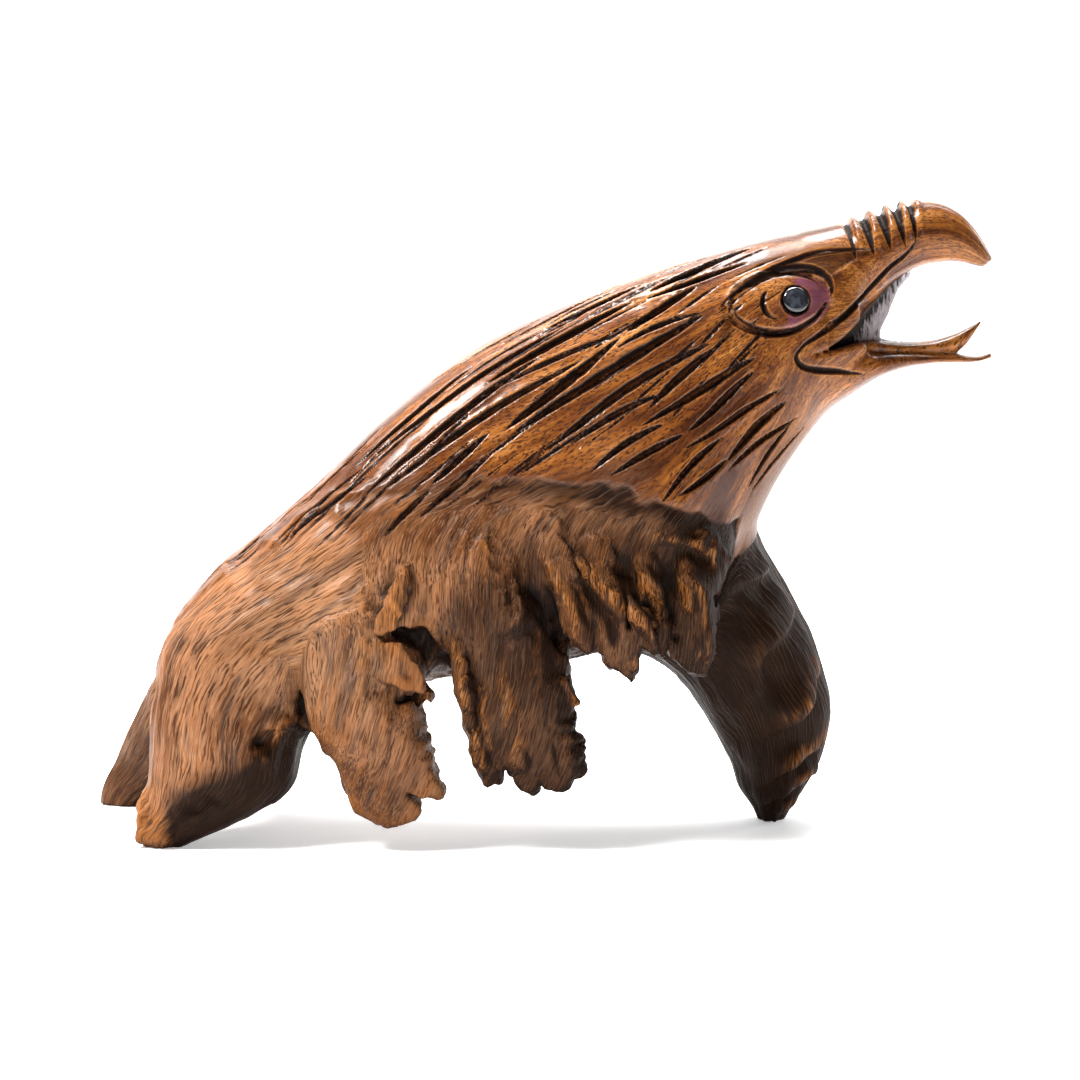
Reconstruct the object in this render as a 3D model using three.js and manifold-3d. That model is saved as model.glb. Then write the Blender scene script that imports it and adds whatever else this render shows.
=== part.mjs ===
// An eagle's head and neck carved on a piece of gnarled root wood. The beak is open, the neck is cut
// with long feather gouges, and the raw wood below them ends in root stubs. It stands on three of
// them: two rear feet and one front leg. A dark bead is set in each eye.
//
// Millimetres. +X is the way the beak points, +Y the bird's left, +Z up. The origin is on the floor,
// below the middle of the carving.
import * as THREE from "three";
import { LoftGeometry } from "three/addons/geometries/LoftGeometry.js";
import { mergeVertices } from "three/addons/utils/BufferGeometryUtils.js";
import Module from "manifold-3d";

const wasm = await Module();
wasm.setup();

// Driving dimensions
const FLOOR_Z = 0;
const EYE = { x: 88.4, z: 189.4, radius: 4.5, dome: 1.3, sink: 3, stand: 1.1, gap: 0.3 };
const EYEBALL = { x: 83.2, z: 189.3, halfLength: 17.8, halfHeight: 10.6, rise: 2.9, depth: 5 };
const GOUGE = { halfWidth: 1.2, depth: 1.6, rim: 1.2 };
const LONG_GOUGE = 0.13;
const BROKEN_FROM = 0.72;
const FAR_SHIFT = { slip: 0.04, turn: 6 };
const FACE_STEPS = 8;
const MOUTH = { core: 4.5, web: 4.2, reach: 30 };
// Where the origin lies among the ribs: x and y of the middle of the carving.
const MIDDLE = { x: -1.34, y: -2.19 };
const WOOD_COLOUR = 0x8a5427;
const BEAD_COLOUR = 0x2b2c33;

// Each rib row holds the two outline points of one cross-section in the side view, (x, z) and
// (x, z), then the y of its middle and its half thickness along y.
const TRUNK_RIBS = [
  [-137, 52, -128, 42, -4, 10], [-134, 66, -112, 40, -3, 27], [-126, 80, -95, 40, -2, 37],
  [-110, 97, -74, 44, 0, 42], [-84, 119, -44, 52, 0, 44], [-55, 147, -10, 57, 0, 44],
  [-24, 170.5, 24, 63, 0, 42], [9, 186.5, 52, 76, 0, 39.5], [38, 197.5, 71, 98, 0, 36],
  [62, 205, 84, 124, 0, 32], [83, 210.5, 98.5, 145, 0, 27], [97, 212.6, 110.5, 155, 0, 21.5],
  [105, 213.6, 117, 160, 0, 16.5],
];
// Where the trunk swells out above a root or foot: share of its length, degrees round from the crest
// on the near side (or the far side when negative), and how far it swells.
const TRUNK_SWELLS = [
  [0.3, 112, 6],
  [0.43, 114, 7],
  [0.59, 110, 9],
  [0.3, -116, 6],
  [0.46, -112, 6],
  [0.6, -116, 6],
];
const UPPER_BEAK_RIBS = [
  [94, 211, 92, 176, 0, 18], [106, 214.5, 106, 177, 0, 17.5], [114, 218, 116, 186, 0, 15.5],
  [124, 221, 125, 194.5, 0, 13.2], [133, 223, 134, 199.8, 0, 11], [141, 222.4, 142, 201.6, 0, 9.2],
  [148, 219, 148.5, 201.6, 0, 7.4], [153.5, 213.5, 153.5, 200.4, 0, 5.4],
  [157.5, 207.5, 156.5, 200, 0, 3.4], [160, 202.8, 158.4, 201.4, 0, 1.2],
];
const LOWER_JAW_RIBS = [
  [94, 170.5, 100, 152, 0, 18], [106, 170.6, 110, 156, 0, 16.5], [116, 170.8, 119, 160.4, 0, 14],
  [127, 170.6, 128, 163.8, 0, 11.2], [138, 170, 138.5, 165.6, 0, 8.6], [148, 169.2, 148, 166, 0, 6],
  [155, 168.4, 155, 166.4, 0, 3.8], [159.8, 169.6, 160.2, 167.8, 0, 1.6],
];
const TONGUE_RIBS = [
  [104, 177, 104, 168, 0, 10], [116, 175.6, 116, 169, 0, 9], [128, 173.8, 128, 169, 0, 7.6],
  [138, 174, 138, 169, 0, 6], [146, 176, 145.5, 169.2, 0, 4.8], [151, 178.2, 150, 171.4, 0, 3.6],
  [154.4, 180, 153.2, 175.4, 0, 2.2], [157, 181.6, 156.4, 180.6, 0, 0.7],
];
const FRONT_LEG_RIBS = [
  [50, 124, 12, 78, 4, 26], [73, 108, 30, 66, 5, 28], [84, 93, 45, 57, 6, 27], [94, 75, 55, 46, 7, 25],
  [101.5, 57, 63, 34, 7, 22], [104, 40, 69, 23, 7, 18], [101.5, 24, 72, 14, 7, 14],
  [96, 13, 74.2, 9.5, 7, 11], [90.8, 5.5, 77.8, 4.5, 7, 8], [86, -3, 81, -3, 7, 5],
];
const NEAR_REAR_FOOT_RIBS = [
  [-112, 92, -62, 60, -10, 30], [-129, 70, -76, 46, -17, 30], [-135, 50, -84, 33, -24, 26],
  [-136.5, 33, -88, 20, -29, 21], [-137, 19, -100, 11, -33, 15], [-138.5, 10, -113, 5, -35, 11],
  [-139, 3, -124, 0.5, -36, 8], [-137, -6, -129, -6, -36, 5.5],
];
const FAR_REAR_FOOT_RIBS = [
  [-106, 94, -58, 58, 8, 30], [-125, 74, -82, 48, 16, 28], [-141, 48, -100, 32, 25, 23],
  [-149, 32, -112, 18, 30, 18], [-156, 18, -124, 8, 34, 13], [-162, 7, -137, 1, 36, 9],
  [-163, -2, -146, -5, 37, 6],
];
// Each hanging root has its ribs and the notches of its broken end: a place across it from -1 to 1,
// then how deep and how wide the notch is.
const NEAR_ROOTS = {
  back: {
    ribs: [
      [-30, 114, -84, 110, -12, 18], [-42, 92, -83, 90, -21, 20], [-48, 75, -81, 74, -31, 18.5],
      [-44, 58, -80.5, 57, -37, 16.5], [-39, 43, -78.5, 42, -40, 14.5], [-36, 32, -72, 29, -41, 12],
      [-31, 23, -67, 17, -42, 9.5], [-31, 15, -63, 5, -42, 6],
    ],
    notches: [],
  },
  middle: {
    ribs: [
      [8, 120, -44, 118, -10, 18], [3, 99, -40, 101, -21, 19.5], [7, 81, -33.5, 82, -31, 17.5],
      [9.5, 65, -29, 65, -36, 15], [12.5, 50, -26.5, 50, -39, 13], [15.5, 38, -24, 37, -41, 11],
      [17, 29, -22, 28, -42, 9], [17, 18, -20, 17, -42, 6],
    ],
    notches: [],
  },
  frontFinger: {
    ribs: [
      [22, 116, -4, 112, -24, 14], [17, 99, 2.5, 94, -36, 11], [17.5, 86, 6, 82, -41, 8.5],
      [19.5, 77, 9, 75, -43, 7], [20.5, 67, 11, 66, -43, 5],
    ],
    notches: [],
  },
  front: {
    ribs: [
      [44, 122, 6, 114, -16, 20], [35, 100, 13, 92, -33, 14.5], [35, 84, 17, 80, -40, 11.5],
      [34.5, 71, 19.5, 71, -42, 9], [34.5, 62, 21.5, 63, -42, 7], [35, 55.5, 24, 56.5, -42, 5],
    ],
    notches: [],
  },
  frontThumb: {
    ribs: [
      [44, 116, 26, 108, -21, 14], [40, 96, 26, 90, -38, 10.5], [43, 83, 31, 80, -44.5, 8.5],
      [45, 75, 35, 73, -46, 6.5], [45, 66, 36, 66.5, -46, 5],
    ],
    notches: [],
  },
  chest: {
    ribs: [
      [64, 122, 36, 118, -14, 16], [66, 104, 38, 101, -25, 15], [62.5, 90, 43, 86, -34, 13],
      [61.5, 77, 46, 75, -37, 10.5], [60.5, 67, 45.5, 66, -38, 9], [60, 57.5, 48, 58.5, -38, 6.5],
    ],
    notches: [],
  },
};
const FAR_ROOTS = {
  back: {
    ribs: [
      [-30, 116, -84, 108, 14, 20], [-48, 90, -86, 84, 24, 20], [-56, 70, -86, 64, 33, 16.5],
      [-62, 52, -86, 48, 37, 12.5], [-68, 39, -84, 36, 39, 8.5], [-72, 31, -81, 30, 39, 4],
    ],
    notches: [],
  },
  middle: {
    ribs: [
      [22, 122, -34, 122, 14, 20], [14, 98, -28, 98, 25, 19], [12, 77, -22, 76, 33, 15.5],
      [10, 59, -17, 57, 38, 12], [8, 44, -12, 43, 40, 8.5], [4, 36, -8, 36, 40, 4],
    ],
    notches: [[-0.2, 5, 0.4]],
  },
  front: {
    ribs: [
      [66, 122, 24, 120, 14, 20], [60, 99, 28, 95, 23, 19.5], [57, 83, 34, 79, 29, 17],
      [54, 70, 39, 68, 31, 13.5], [50, 62.5, 43, 62, 32, 9],
    ],
    notches: [],
  },
};
// The broken ends of the near roots: what each outline of the side view takes off, as (x, z) points,
// nearer than the y of side.
const BROKEN_ENDS = {
  side: -26,
  reach: 40,
  outlines: [
    [
      [-78, 30], [-73.6, 33.1], [-69.6, 24.6], [-66.4, 17.2], [-64.3, 13.6], [-60.4, 12.2],
      [-57.6, 9.4], [-54.8, 8.9], [-51.6, 7.4], [-48.1, 8.3], [-44.8, 8.7], [-42.9, 10.9], [-41.4, 15],
      [-46.2, 19.6], [-46.6, 21], [-41.4, 18.6], [-39.1, 18.9], [-35.8, 18.1], [-32.6, 18.9],
      [-32.9, 21.6], [-34.9, 24.4], [-34.7, 27.3], [-36.9, 30.1], [-36.3, 33.1], [-38.4, 35.4],
      [-38.1, 37.7], [-40.1, 40.6], [-37.9, 42.6], [-40.4, 45.5], [-28, 44], [-27, -2], [-72, -2],
    ],
    [
      [-27.6, 36], [-23.5, 32.1], [-21.9, 27.6], [-20.2, 25.3], [-18.6, 22.3], [-16.3, 22.9],
      [-13.6, 22.8], [-13.1, 27.6], [-11.8, 30.4], [-10.6, 27.9], [-9, 26.5], [-6.6, 21.6],
      [-4.8, 21.2], [-2.9, 19.7], [-0.9, 21.9], [-1.3, 24.8], [0.4, 23.9], [2.1, 22.3], [4.8, 21.9],
      [7.7, 20.6], [10.2, 20.9], [11, 22.5], [11.4, 25.2], [13.9, 26.1], [15.6, 28.2], [14.2, 30.4],
      [16, 32.2], [14.4, 34.3], [15.8, 36.6], [14.6, 39.4], [12.9, 41.6], [14.2, 44.2], [12.3, 47.1],
      [12.1, 50.2], [13.4, 52.1], [12.3, 55.2], [10.9, 58], [9.4, 60.8], [22, 60], [22, 10], [-27, 10],
    ],
    [
      [9.6, 77.9], [11.4, 74.6], [12.2, 71.3], [14.1, 70.9], [15.8, 69.3], [17.9, 70.6], [19.8, 71.8],
      [20.6, 69.1], [22.5, 67.9], [22.6, 65.2], [23.9, 63.2], [25.7, 63.4], [27.3, 62.2], [29.2, 61.1],
      [31.9, 58.4], [32.2, 60.9], [33.4, 62.9], [33.4, 65.5], [34.6, 71.6], [36.9, 70.8], [39.3, 69.6],
      [42.3, 68.4], [43.6, 70.8], [44.6, 67.6], [47.1, 66.1], [49.3, 63.7], [51.9, 62.3], [54.2, 60.2],
      [56.2, 60.4], [57.8, 59.2], [58.6, 60.9], [59.9, 62.4], [66, 60], [62, 48], [14, 48], [13.4, 63],
      [10, 65.4], [8.6, 71],
    ],
  ],
};
// Slabs standing out of the back root: the y of the near and far face, then the outline.
const STUB = {
  faces: [-52, -34],
  outline: [
    [-58, 69.6], [-56.6, 74.2], [-51.3, 74], [-47.6, 71.9], [-44.5, 70.6], [-42.6, 65.9],
    [-40.2, 61.3], [-40.4, 56.6], [-46.9, 57.4], [-53.7, 60.9], [-57.4, 64.6],
  ],
};
const FLAKE = {
  faces: [-51.6, -36],
  outline: [
    [-45.6, 100.6], [-51.2, 93.6], [-54.3, 86.1], [-56.2, 77.9], [-53.1, 76.6], [-50.1, 78.2],
    [-47.9, 82.4], [-46.2, 87.4], [-45.1, 94.6],
  ],
};

// The long gouges of the neck. Each runs from a tail end to a head end, and each end is a share of
// the trunk's length and degrees round from the crest. Then come its bow in degrees and its size.
const GOUGES = [
  [0.2, 14, 0.29, 11, 0, 0.8], [0.3, 16, 0.4, 21, -1, 0.8], [0.29, 33.5, 0.39, 33.5, -2.5, 0.9],
  [0.31, 37, 0.39, 40.5, -0.5, 0.9], [0.38, 28.5, 0.5, 22, 1.5, 1], [0.39, 32.5, 0.58, 26, 3, 0.9],
  [0.46, 10, 0.56, 9, 3.5, 0.7], [0.52, 18, 0.64, 6, 1.5, 0.7], [0.56, 22, 0.66, 17, 1.5, 0.9],
  [0.375, 48.5, 0.55, 37.5, 1.5, 1], [0.5, 37.5, 0.645, 29, 0, 1.2], [0.39, 53.5, 0.585, 47.5, 0, 1],
  [0.51, 42, 0.62, 43.5, -1, 0.8], [0.5, 60, 0.62, 45.5, 1, 1.3], [0.625, 44.5, 0.715, 36, 0, 1.1],
  [0.66, 26.5, 0.8, 15, 1.5, 1.3], [0.655, 31, 0.785, 32.5, 0.5, 0.9],
  [0.61, 49.5, 0.71, 52, -2.5, 0.8], [0.5, 63, 0.715, 53.5, -1.5, 1.4], [0.43, 64, 0.49, 57.5, 0, 1],
  [0.38, 71, 0.43, 65, 0, 0.8], [0.41, 73, 0.49, 64.5, 0, 0.9], [0.525, 73.5, 0.71, 67.5, -4.5, 1.2],
  [0.545, 75, 0.64, 74.5, -2, 0.9], [0.62, 77, 0.718, 70.5, -1.5, 1.1],
  [0.61, 80.5, 0.765, 86, -1.5, 1.1], [0.55, 85.5, 0.635, 84, -2, 0.9],
  [0.565, 88.5, 0.65, 90, -1, 0.9], [0.65, 90, 0.757, 90, 0, 1], [0.64, 93, 0.79, 107.5, -1.5, 0.8],
  [0.6, 101, 0.69, 100, -2, 0.9], [0.62, 102.5, 0.69, 108.5, 0, 0.9],
  [0.685, 109, 0.79, 115.5, -1, 1.2], [0.68, 111.5, 0.8, 132, -2, 0.8],
  [0.7, 130, 0.79, 130.5, 0, 0.8], [0.7, 134, 0.81, 147, 0, 0.7],
];

// Cut lines on each side of the head, as (x, z) points of the side view, with the widest half
// width and depth of the cut, and how far out of the skin it lies where the eyeball covers that.
const FACE_LINES = {
  beakEdge: {
    points: [
      [131.6, 211.6], [131, 208.5], [127.3, 204.1], [122.4, 200.4], [118.4, 196], [113.6, 191],
      [109.8, 187], [104.2, 182.4], [97.6, 177.8], [91.2, 173.8], [88.9, 170.4],
    ],
    width: 1.3,
    depth: 1.7,
  },
  jawEdge: {
    points: [
      [91.2, 173.6], [88.9, 170.9], [89.2, 168.2], [92.2, 166], [98, 164.9], [104.6, 164.3],
      [113.8, 163],
    ],
    width: 1.2,
    depth: 1.3,
  },
  upperLid: {
    points: [
      [65.6, 188.4], [66.3, 190.8], [69.1, 193.1], [72.6, 195.1], [78.6, 198.3], [83.8, 199.9],
      [89.4, 200.5], [95, 199.8], [99.4, 197.4], [101.4, 193.4], [100.8, 190],
    ],
    width: 1.9,
    depth: 2.5,
  },
  lowerLid: {
    points: [
      [65.8, 190], [65.9, 187], [66.9, 184], [70.5, 181], [76.2, 178.8], [82.2, 178.3], [88.3, 179.6],
      [92.8, 181.9], [97.4, 185.4], [100.6, 189.6],
    ],
    width: 1.5,
    depth: 1.9,
  },
  iris: {
    points: [
      [78.8, 193.4], [77.4, 190.8], [77, 188.4], [77.8, 185.6], [80, 183.4], [83.4, 182.8],
    ],
    width: 1.1,
    depth: 1.5,
    out: 2.6,
  },
  brow: {
    points: [
      [74, 197.6], [79.5, 200], [83.8, 201.7], [88.5, 203.4], [93.7, 204.8], [99.3, 205.7],
      [107.9, 206.6], [115, 206.8],
    ],
    width: 1,
    depth: 0.9,
  },
};
// Notches over the top of the beak: x on the crest, how far they lean forward, half width and depth.
const CERE_NOTCHES = [
  [107.6, 3, 1.3, 1.1], [113.6, 3.2, 1.7, 2.2], [119.6, 3.2, 1.8, 2.5], [124.9, 3, 1.7, 2.5],
  [129.8, 2, 1.3, 2],
];
const CERE = { x: 104, crest: 213.8, slope: 0.3, start: 0.8, reach: 7.5, turnUp: 0.35 };
// The gap of the mouth on each side of its core, and the web left at the back of it, as (x, z) points.
const MOUTH_OUTLINE = [
  [95, 170.6], [103, 172], [111, 173.6], [119, 174.4], [136, 174.4], [136, 199.8], [129, 197],
  [123, 193], [117.6, 187.4], [112, 181.6], [106, 176], [100, 172],
];
const MOUTH_WEB = [
  [104, 170], [112, 171], [119.6, 173], [120.4, 178], [123, 183.3], [124.6, 187.7], [126.4, 192.2],
  [131, 197.6], [126, 200], [116, 190], [106, 178],
];

/** The row of numbers at share v of the way through a list of rows, on a smooth curve. */
function rowAt(rows, v) {
  const place = v * (rows.length - 1);
  const i = Math.min(Math.floor(place), rows.length - 2);
  const t = place - i;
  const row = (k) => rows[Math.min(Math.max(k, 0), rows.length - 1)];
  const [a, b, c, d] = [row(i - 1), row(i), row(i + 1), row(i + 2)];
  return b.map((here, k) => {
    const [before, next, after] = [a[k], c[k], d[k]];
    const cubic = 3 * (here - next) + after - before;
    const square = 2 * before - 5 * here + 4 * next - after;
    return here + 0.5 * t * (next - before + t * (square + t * cubic));
  });
}

/** cos or sin of an angle, drawn out towards a squarer section as power rises over 2. */
function squared(wave, power) {
  return Math.sign(wave) * Math.abs(wave) ** (2 / power);
}

/** A limb through ribs: point(v, angle) is on its skin, v along it from 0 to 1, angle 0 at the edge. */
class Limb {
  constructor(ribs, { power = 2.2, notches = [], swells = [], ripple = null } = {}) {
    Object.assign(this, { ribs, power, notches, swells, ripple });
    const [end, before] = [1, 0.9].map((v) => this.middle(v));
    this.tip = end.sub(before).normalize();
  }

  middle(v) {
    const [ux, uz, lx, lz, y] = rowAt(this.ribs, v);
    return new THREE.Vector3((ux + lx) / 2, y, (uz + lz) / 2);
  }

  /** How far the broken end is eaten back at a place across the limb, from -1 to 1. */
  bite(across) {
    const notch = ([place, depth, width]) => depth * Math.max(0, 1 - Math.abs(across - place) / width);
    return this.notches.reduce((sum, each) => sum + notch(each), 0);
  }

  /** How far the skin swells out at a place: a round mound for each swell. */
  mound(v, angle) {
    const [alongSpread, roundSpread] = [0.07, 26];
    const degrees = -THREE.MathUtils.radToDeg(angle > Math.PI ? angle - 2 * Math.PI : angle);
    return this.swells.reduce(
      (sum, [place, round, rise]) =>
        sum + rise * Math.exp(-(((v - place) / alongSpread) ** 2) - ((degrees - round) / roundSpread) ** 2),
      0,
    );
  }

  /** The share by which the folds of a rippled limb rise and fall at a place. */
  fold(v, angle) {
    if (!this.ripple) return 0;
    const { amount, folds, from } = this.ripple;
    const face = Math.abs(Math.sin(angle)) * (0.6 + 0.4 * Math.cos(angle));
    const start = THREE.MathUtils.smoothstep(v, from, from + 0.15);
    const rise = start * THREE.MathUtils.smoothstep(1 - v, 0.05, 0.2);
    return amount * rise * face * Math.sin(2 * Math.PI * folds * (v - 0.1 * Math.cos(angle)));
  }

  point(v, angle) {
    const [ux, uz, lx, lz, y, half] = rowAt(this.ribs, v);
    const [rx, rz] = [(ux - lx) / 2, (uz - lz) / 2];
    const swell = 1 + this.fold(v, angle) + this.mound(v, angle) / half;
    const across = squared(Math.cos(angle), this.power) * swell;
    const through = squared(Math.sin(angle), this.power) * swell;
    const middle = new THREE.Vector3((ux + lx) / 2, y, (uz + lz) / 2);
    const p = middle.add(new THREE.Vector3(rx * across, half * through, rz * across));
    const nearEnd = THREE.MathUtils.smoothstep(v, BROKEN_FROM, 1);
    return p.addScaledVector(this.tip, -this.bite(across) * nearEnd);
  }

  normal(v, angle) {
    const step = 1e-3;
    const along = this.point(Math.min(v + step, 1), angle).sub(this.point(Math.max(v - step, 0), angle));
    const round = this.point(v, angle + step).sub(this.point(v, angle - step));
    const n = along.cross(round).normalize();
    return n.dot(this.point(v, angle).sub(this.middle(v))) < 0 ? n.negate() : n;
  }

  /** The place on the skin, v and angle, that is at (x, z) in the side view, or null. Side is 1 or -1. */
  at(x, z, side) {
    const [steps, edge] = [160, 0.995];
    const off = (v) => {
      const [ux, uz, lx, lz] = rowAt(this.ribs, v);
      return (x - ux) * (lz - uz) - (z - uz) * (lx - ux);
    };
    for (let i = 0; i < steps; i++) {
      const [v0, v1] = [i / steps, (i + 1) / steps];
      const [d0, d1] = [off(v0), off(v1)];
      if (d0 * d1 > 0) continue;
      const v = v0 + ((v1 - v0) * d0) / (d0 - d1);
      const [ux, uz, lx, lz] = rowAt(this.ribs, v);
      const [rx, rz] = [(ux - lx) / 2, (uz - lz) / 2];
      const across = ((x - lx - rx) * rx + (z - lz - rz) * rz) / (rx * rx + rz * rz);
      if (Math.abs(across) > edge) continue;
      const angle = Math.acos(squared(across, 4 / this.power));
      return { v, angle: side * angle };
    }
    return null;
  }

  geometry(along, around) {
    const sections = Array.from({ length: along + 1 }, (_, i) =>
      Array.from({ length: around }, (_, j) => this.point(i / along, (2 * Math.PI * j) / around)),
    );
    return loft(sections);
  }
}

/** The skin through rings of points, with both ends closed, whichever way round the rings run. */
function loft(rings) {
  const [start, next] = rings;
  const across = new THREE.Vector3();
  const fromFirst = (p) => p.clone().sub(start[0]);
  start.forEach((p, i) => across.add(fromFirst(p).cross(fromFirst(start[(i + 1) % start.length]))));
  const ahead = next.reduce((sum, p, i) => sum.add(p).sub(start[i]), new THREE.Vector3());
  const sections = across.dot(ahead) > 0 ? rings : rings.map((ring) => [...ring].reverse());
  return new LoftGeometry(sections, { capStart: true, capEnd: true });
}

/** A closed geometry as a solid that can be joined and cut. */
function solid(geometry) {
  const bare = new THREE.BufferGeometry().copy(geometry);
  bare.deleteAttribute("normal");
  bare.deleteAttribute("uv");
  const merged = mergeVertices(bare, 1e-4);
  const vertProperties = merged.attributes.position.array;
  return new wasm.Manifold(new wasm.Mesh({ numProp: 3, vertProperties, triVerts: merged.index.array }));
}

/** A spindle along points on the skin, pointed at both ends: what a gouge takes out, or a ridge adds. */
function spindle(points, normals, halfWidth, depth) {
  const [fullness, thinnest] = [0.6, 0.04];
  const last = points.length - 1;
  const openWidth = (halfWidth * (Math.abs(depth) + GOUGE.rim)) / Math.abs(depth);
  const sections = points.map((p, i) => {
    const taper = Math.max(thinnest, Math.max(0, Math.sin((Math.PI * i) / last)) ** fullness);
    const ahead = points[Math.min(i + 1, last)].clone().sub(points[Math.max(i - 1, 0)]).normalize();
    const sideways = ahead.clone().cross(normals[i]).normalize().multiplyScalar(openWidth * taper);
    const inwards = normals[i].clone().multiplyScalar(-taper);
    const outer = p.clone().addScaledVector(inwards, -Math.sign(depth) * GOUGE.rim);
    const floor = p.clone().addScaledVector(inwards, depth);
    return [outer.clone().add(sideways), outer.clone().sub(sideways), floor];
  });
  return solid(loft(sections));
}

/** count points spread evenly along a smooth curve through (x, z) points. */
function spread(points, count) {
  const curve = new THREE.CatmullRomCurve3(points.map(([x, z]) => new THREE.Vector3(x, 0, z)));
  return curve.getSpacedPoints(count - 1).map((p) => [p.x, p.z]);
}

/** A number from -0.5 to 0.5 that jumps about as i counts up, the same on every run. */
function jump(i, salt) {
  const [goldenShare, plasticShare] = [0.6180339887, 0.7548776662];
  return ((i * goldenShare + salt * plasticShare) % 1) - 0.5;
}

/** The cut of one gouge, on the near side, or on the far side a little out of its place there. */
function gougeCutter(trunk, [v0, a0, v1, a1, bow, size], i, side) {
  const [slip, turn] = side < 0 ? [0, 0] : [FAR_SHIFT.slip * jump(i, 1), FAR_SHIFT.turn * jump(i, 2)];
  const steps = v1 - v0 > LONG_GOUGE ? 4 : 3;
  const places = Array.from({ length: steps + 1 }, (_, k) => {
    const t = k / steps;
    const degrees = a0 + (a1 - a0) * t + bow * Math.sin(Math.PI * t) + turn;
    return [v0 + (v1 - v0) * t + slip, side * THREE.MathUtils.degToRad(degrees)];
  });
  return spindle(
    places.map(([v, a]) => trunk.point(v, a)),
    places.map(([v, a]) => trunk.normal(v, a)),
    GOUGE.halfWidth * size,
    GOUGE.depth * size,
  );
}

/** The outermost skin point and its normal at (x, z) in the side view, among several limbs. */
function skinAt(limbs, x, z, side) {
  const found = limbs
    .map((limb) => ({ limb, at: limb.at(x, z, side) }))
    .filter(({ at }) => at)
    .map(({ limb, at }) => ({ p: limb.point(at.v, at.angle), n: limb.normal(at.v, at.angle) }));
  return found.reduce((best, f) => (side * f.p.y > side * best.p.y ? f : best));
}

/** The cut of one face line on one side, starting the given way out of the skin. */
function faceCutter(limbs, { points, width, depth, out = 0 }, side) {
  const places = spread(points, FACE_STEPS).map(([x, z]) => skinAt(limbs, x, z, side));
  return spindle(
    places.map(({ p, n }) => p.clone().addScaledVector(n, out)),
    places.map(({ n }) => n),
    width,
    depth,
  );
}

/** One notch over the crest of the beak, from side to side. */
function cereCutter(limbs, [x, lean, width, depth]) {
  const crest = CERE.crest + (x - CERE.x) * CERE.slope;
  const half = (sign) =>
    [0, 1, 2, 3].map((k) => {
      const share = (k / 3) ** 2;
      return skinAt(limbs, x + lean * share, crest - CERE.start - CERE.reach * share, sign);
    });
  const places = [...half(-1).reverse(), ...half(1)];
  const up = new THREE.Vector3(0, 0, 1);
  return spindle(
    places.map(({ p }) => p),
    places.map(({ n }) => n.clone().lerp(up, CERE.turnUp).normalize()),
    width,
    depth,
  );
}

/** A slab with an outline of (x, z) points, from the near y to the far y. */
function slab(outline, near, far) {
  const shape = new THREE.Shape(outline.map(([x, z]) => new THREE.Vector2(x, z)));
  const made = new THREE.ExtrudeGeometry(shape, { depth: far - near, bevelEnabled: false });
  made.rotateX(Math.PI / 2);
  made.translate(0, far, 0);
  return solid(made);
}

/** The gap between the upper beak and the tongue on one side, short of the middle. */
function mouthGap(side) {
  const [inner, outer] = [side * MOUTH.core, side * MOUTH.reach];
  return slab(MOUTH_OUTLINE, Math.min(inner, outer), Math.max(inner, outer));
}

function floorCutter() {
  const [size, deep] = [500, 60];
  const block = new THREE.BoxGeometry(size, size, deep);
  block.translate(0, 0, FLOOR_Z - deep / 2);
  return solid(block);
}

/** The eyeball: a low mound under the lids. */
function eyeball(limbs, side) {
  const { p, n } = skinAt(limbs, EYEBALL.x, EYEBALL.z, side);
  const ball = new THREE.SphereGeometry(1, 14, 8);
  ball.scale(EYEBALL.halfLength, EYEBALL.depth, EYEBALL.halfHeight);
  ball.applyQuaternion(new THREE.Quaternion().setFromUnitVectors(new THREE.Vector3(0, side, 0), n));
  const centre = p.clone().addScaledVector(n, EYEBALL.rise - EYEBALL.depth);
  ball.translate(...centre);
  return solid(ball);
}

/** A round drop with its axis square to the eyeball: the bead, or with a gap the socket round it. */
function drop(limbs, side, gap) {
  const { p, n } = skinAt(limbs, EYE.x, EYE.z, side);
  const [radius, bottom, rings] = [EYE.radius + gap, -EYE.sink - gap, 3];
  const dome = Array.from({ length: rings + 1 }, (_, k) => {
    const t = ((Math.PI / 2) * k) / rings;
    return new THREE.Vector2(k < rings ? radius * Math.cos(t) : 0, EYE.dome * Math.sin(t));
  });
  const clear = [new THREE.Vector2(radius, 4 * EYE.dome), new THREE.Vector2(0, 4 * EYE.dome)];
  const base = [new THREE.Vector2(0, bottom), new THREE.Vector2(radius, bottom)];
  const profile = [...base, ...(gap > 0 ? clear : dome)];
  const made = new THREE.LatheGeometry(profile, 14);
  made.applyQuaternion(new THREE.Quaternion().setFromUnitVectors(new THREE.Vector3(0, 1, 0), n));
  const seat = p.clone().addScaledVector(n, EYE.stand);
  made.translate(...seat);
  return solid(made);
}

function makeMesh(name, geometry, material) {
  const mesh = new THREE.Mesh(geometry, material);
  mesh.name = name;
  return mesh;
}

function geometryOf(made) {
  const { vertProperties, triVerts, numProp } = made.getMesh();
  const count = vertProperties.length / numProp;
  const position = new Float32Array(count * 3);
  for (let i = 0; i < count; i++) {
    const start = i * numProp;
    position.set(vertProperties.subarray(start, start + 3), 3 * i);
  }
  const geometry = new THREE.BufferGeometry();
  geometry.setAttribute("position", new THREE.BufferAttribute(position, 3));
  geometry.setIndex(new THREE.BufferAttribute(triVerts, 1));
  geometry.computeVertexNormals();
  return geometry;
}

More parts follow.
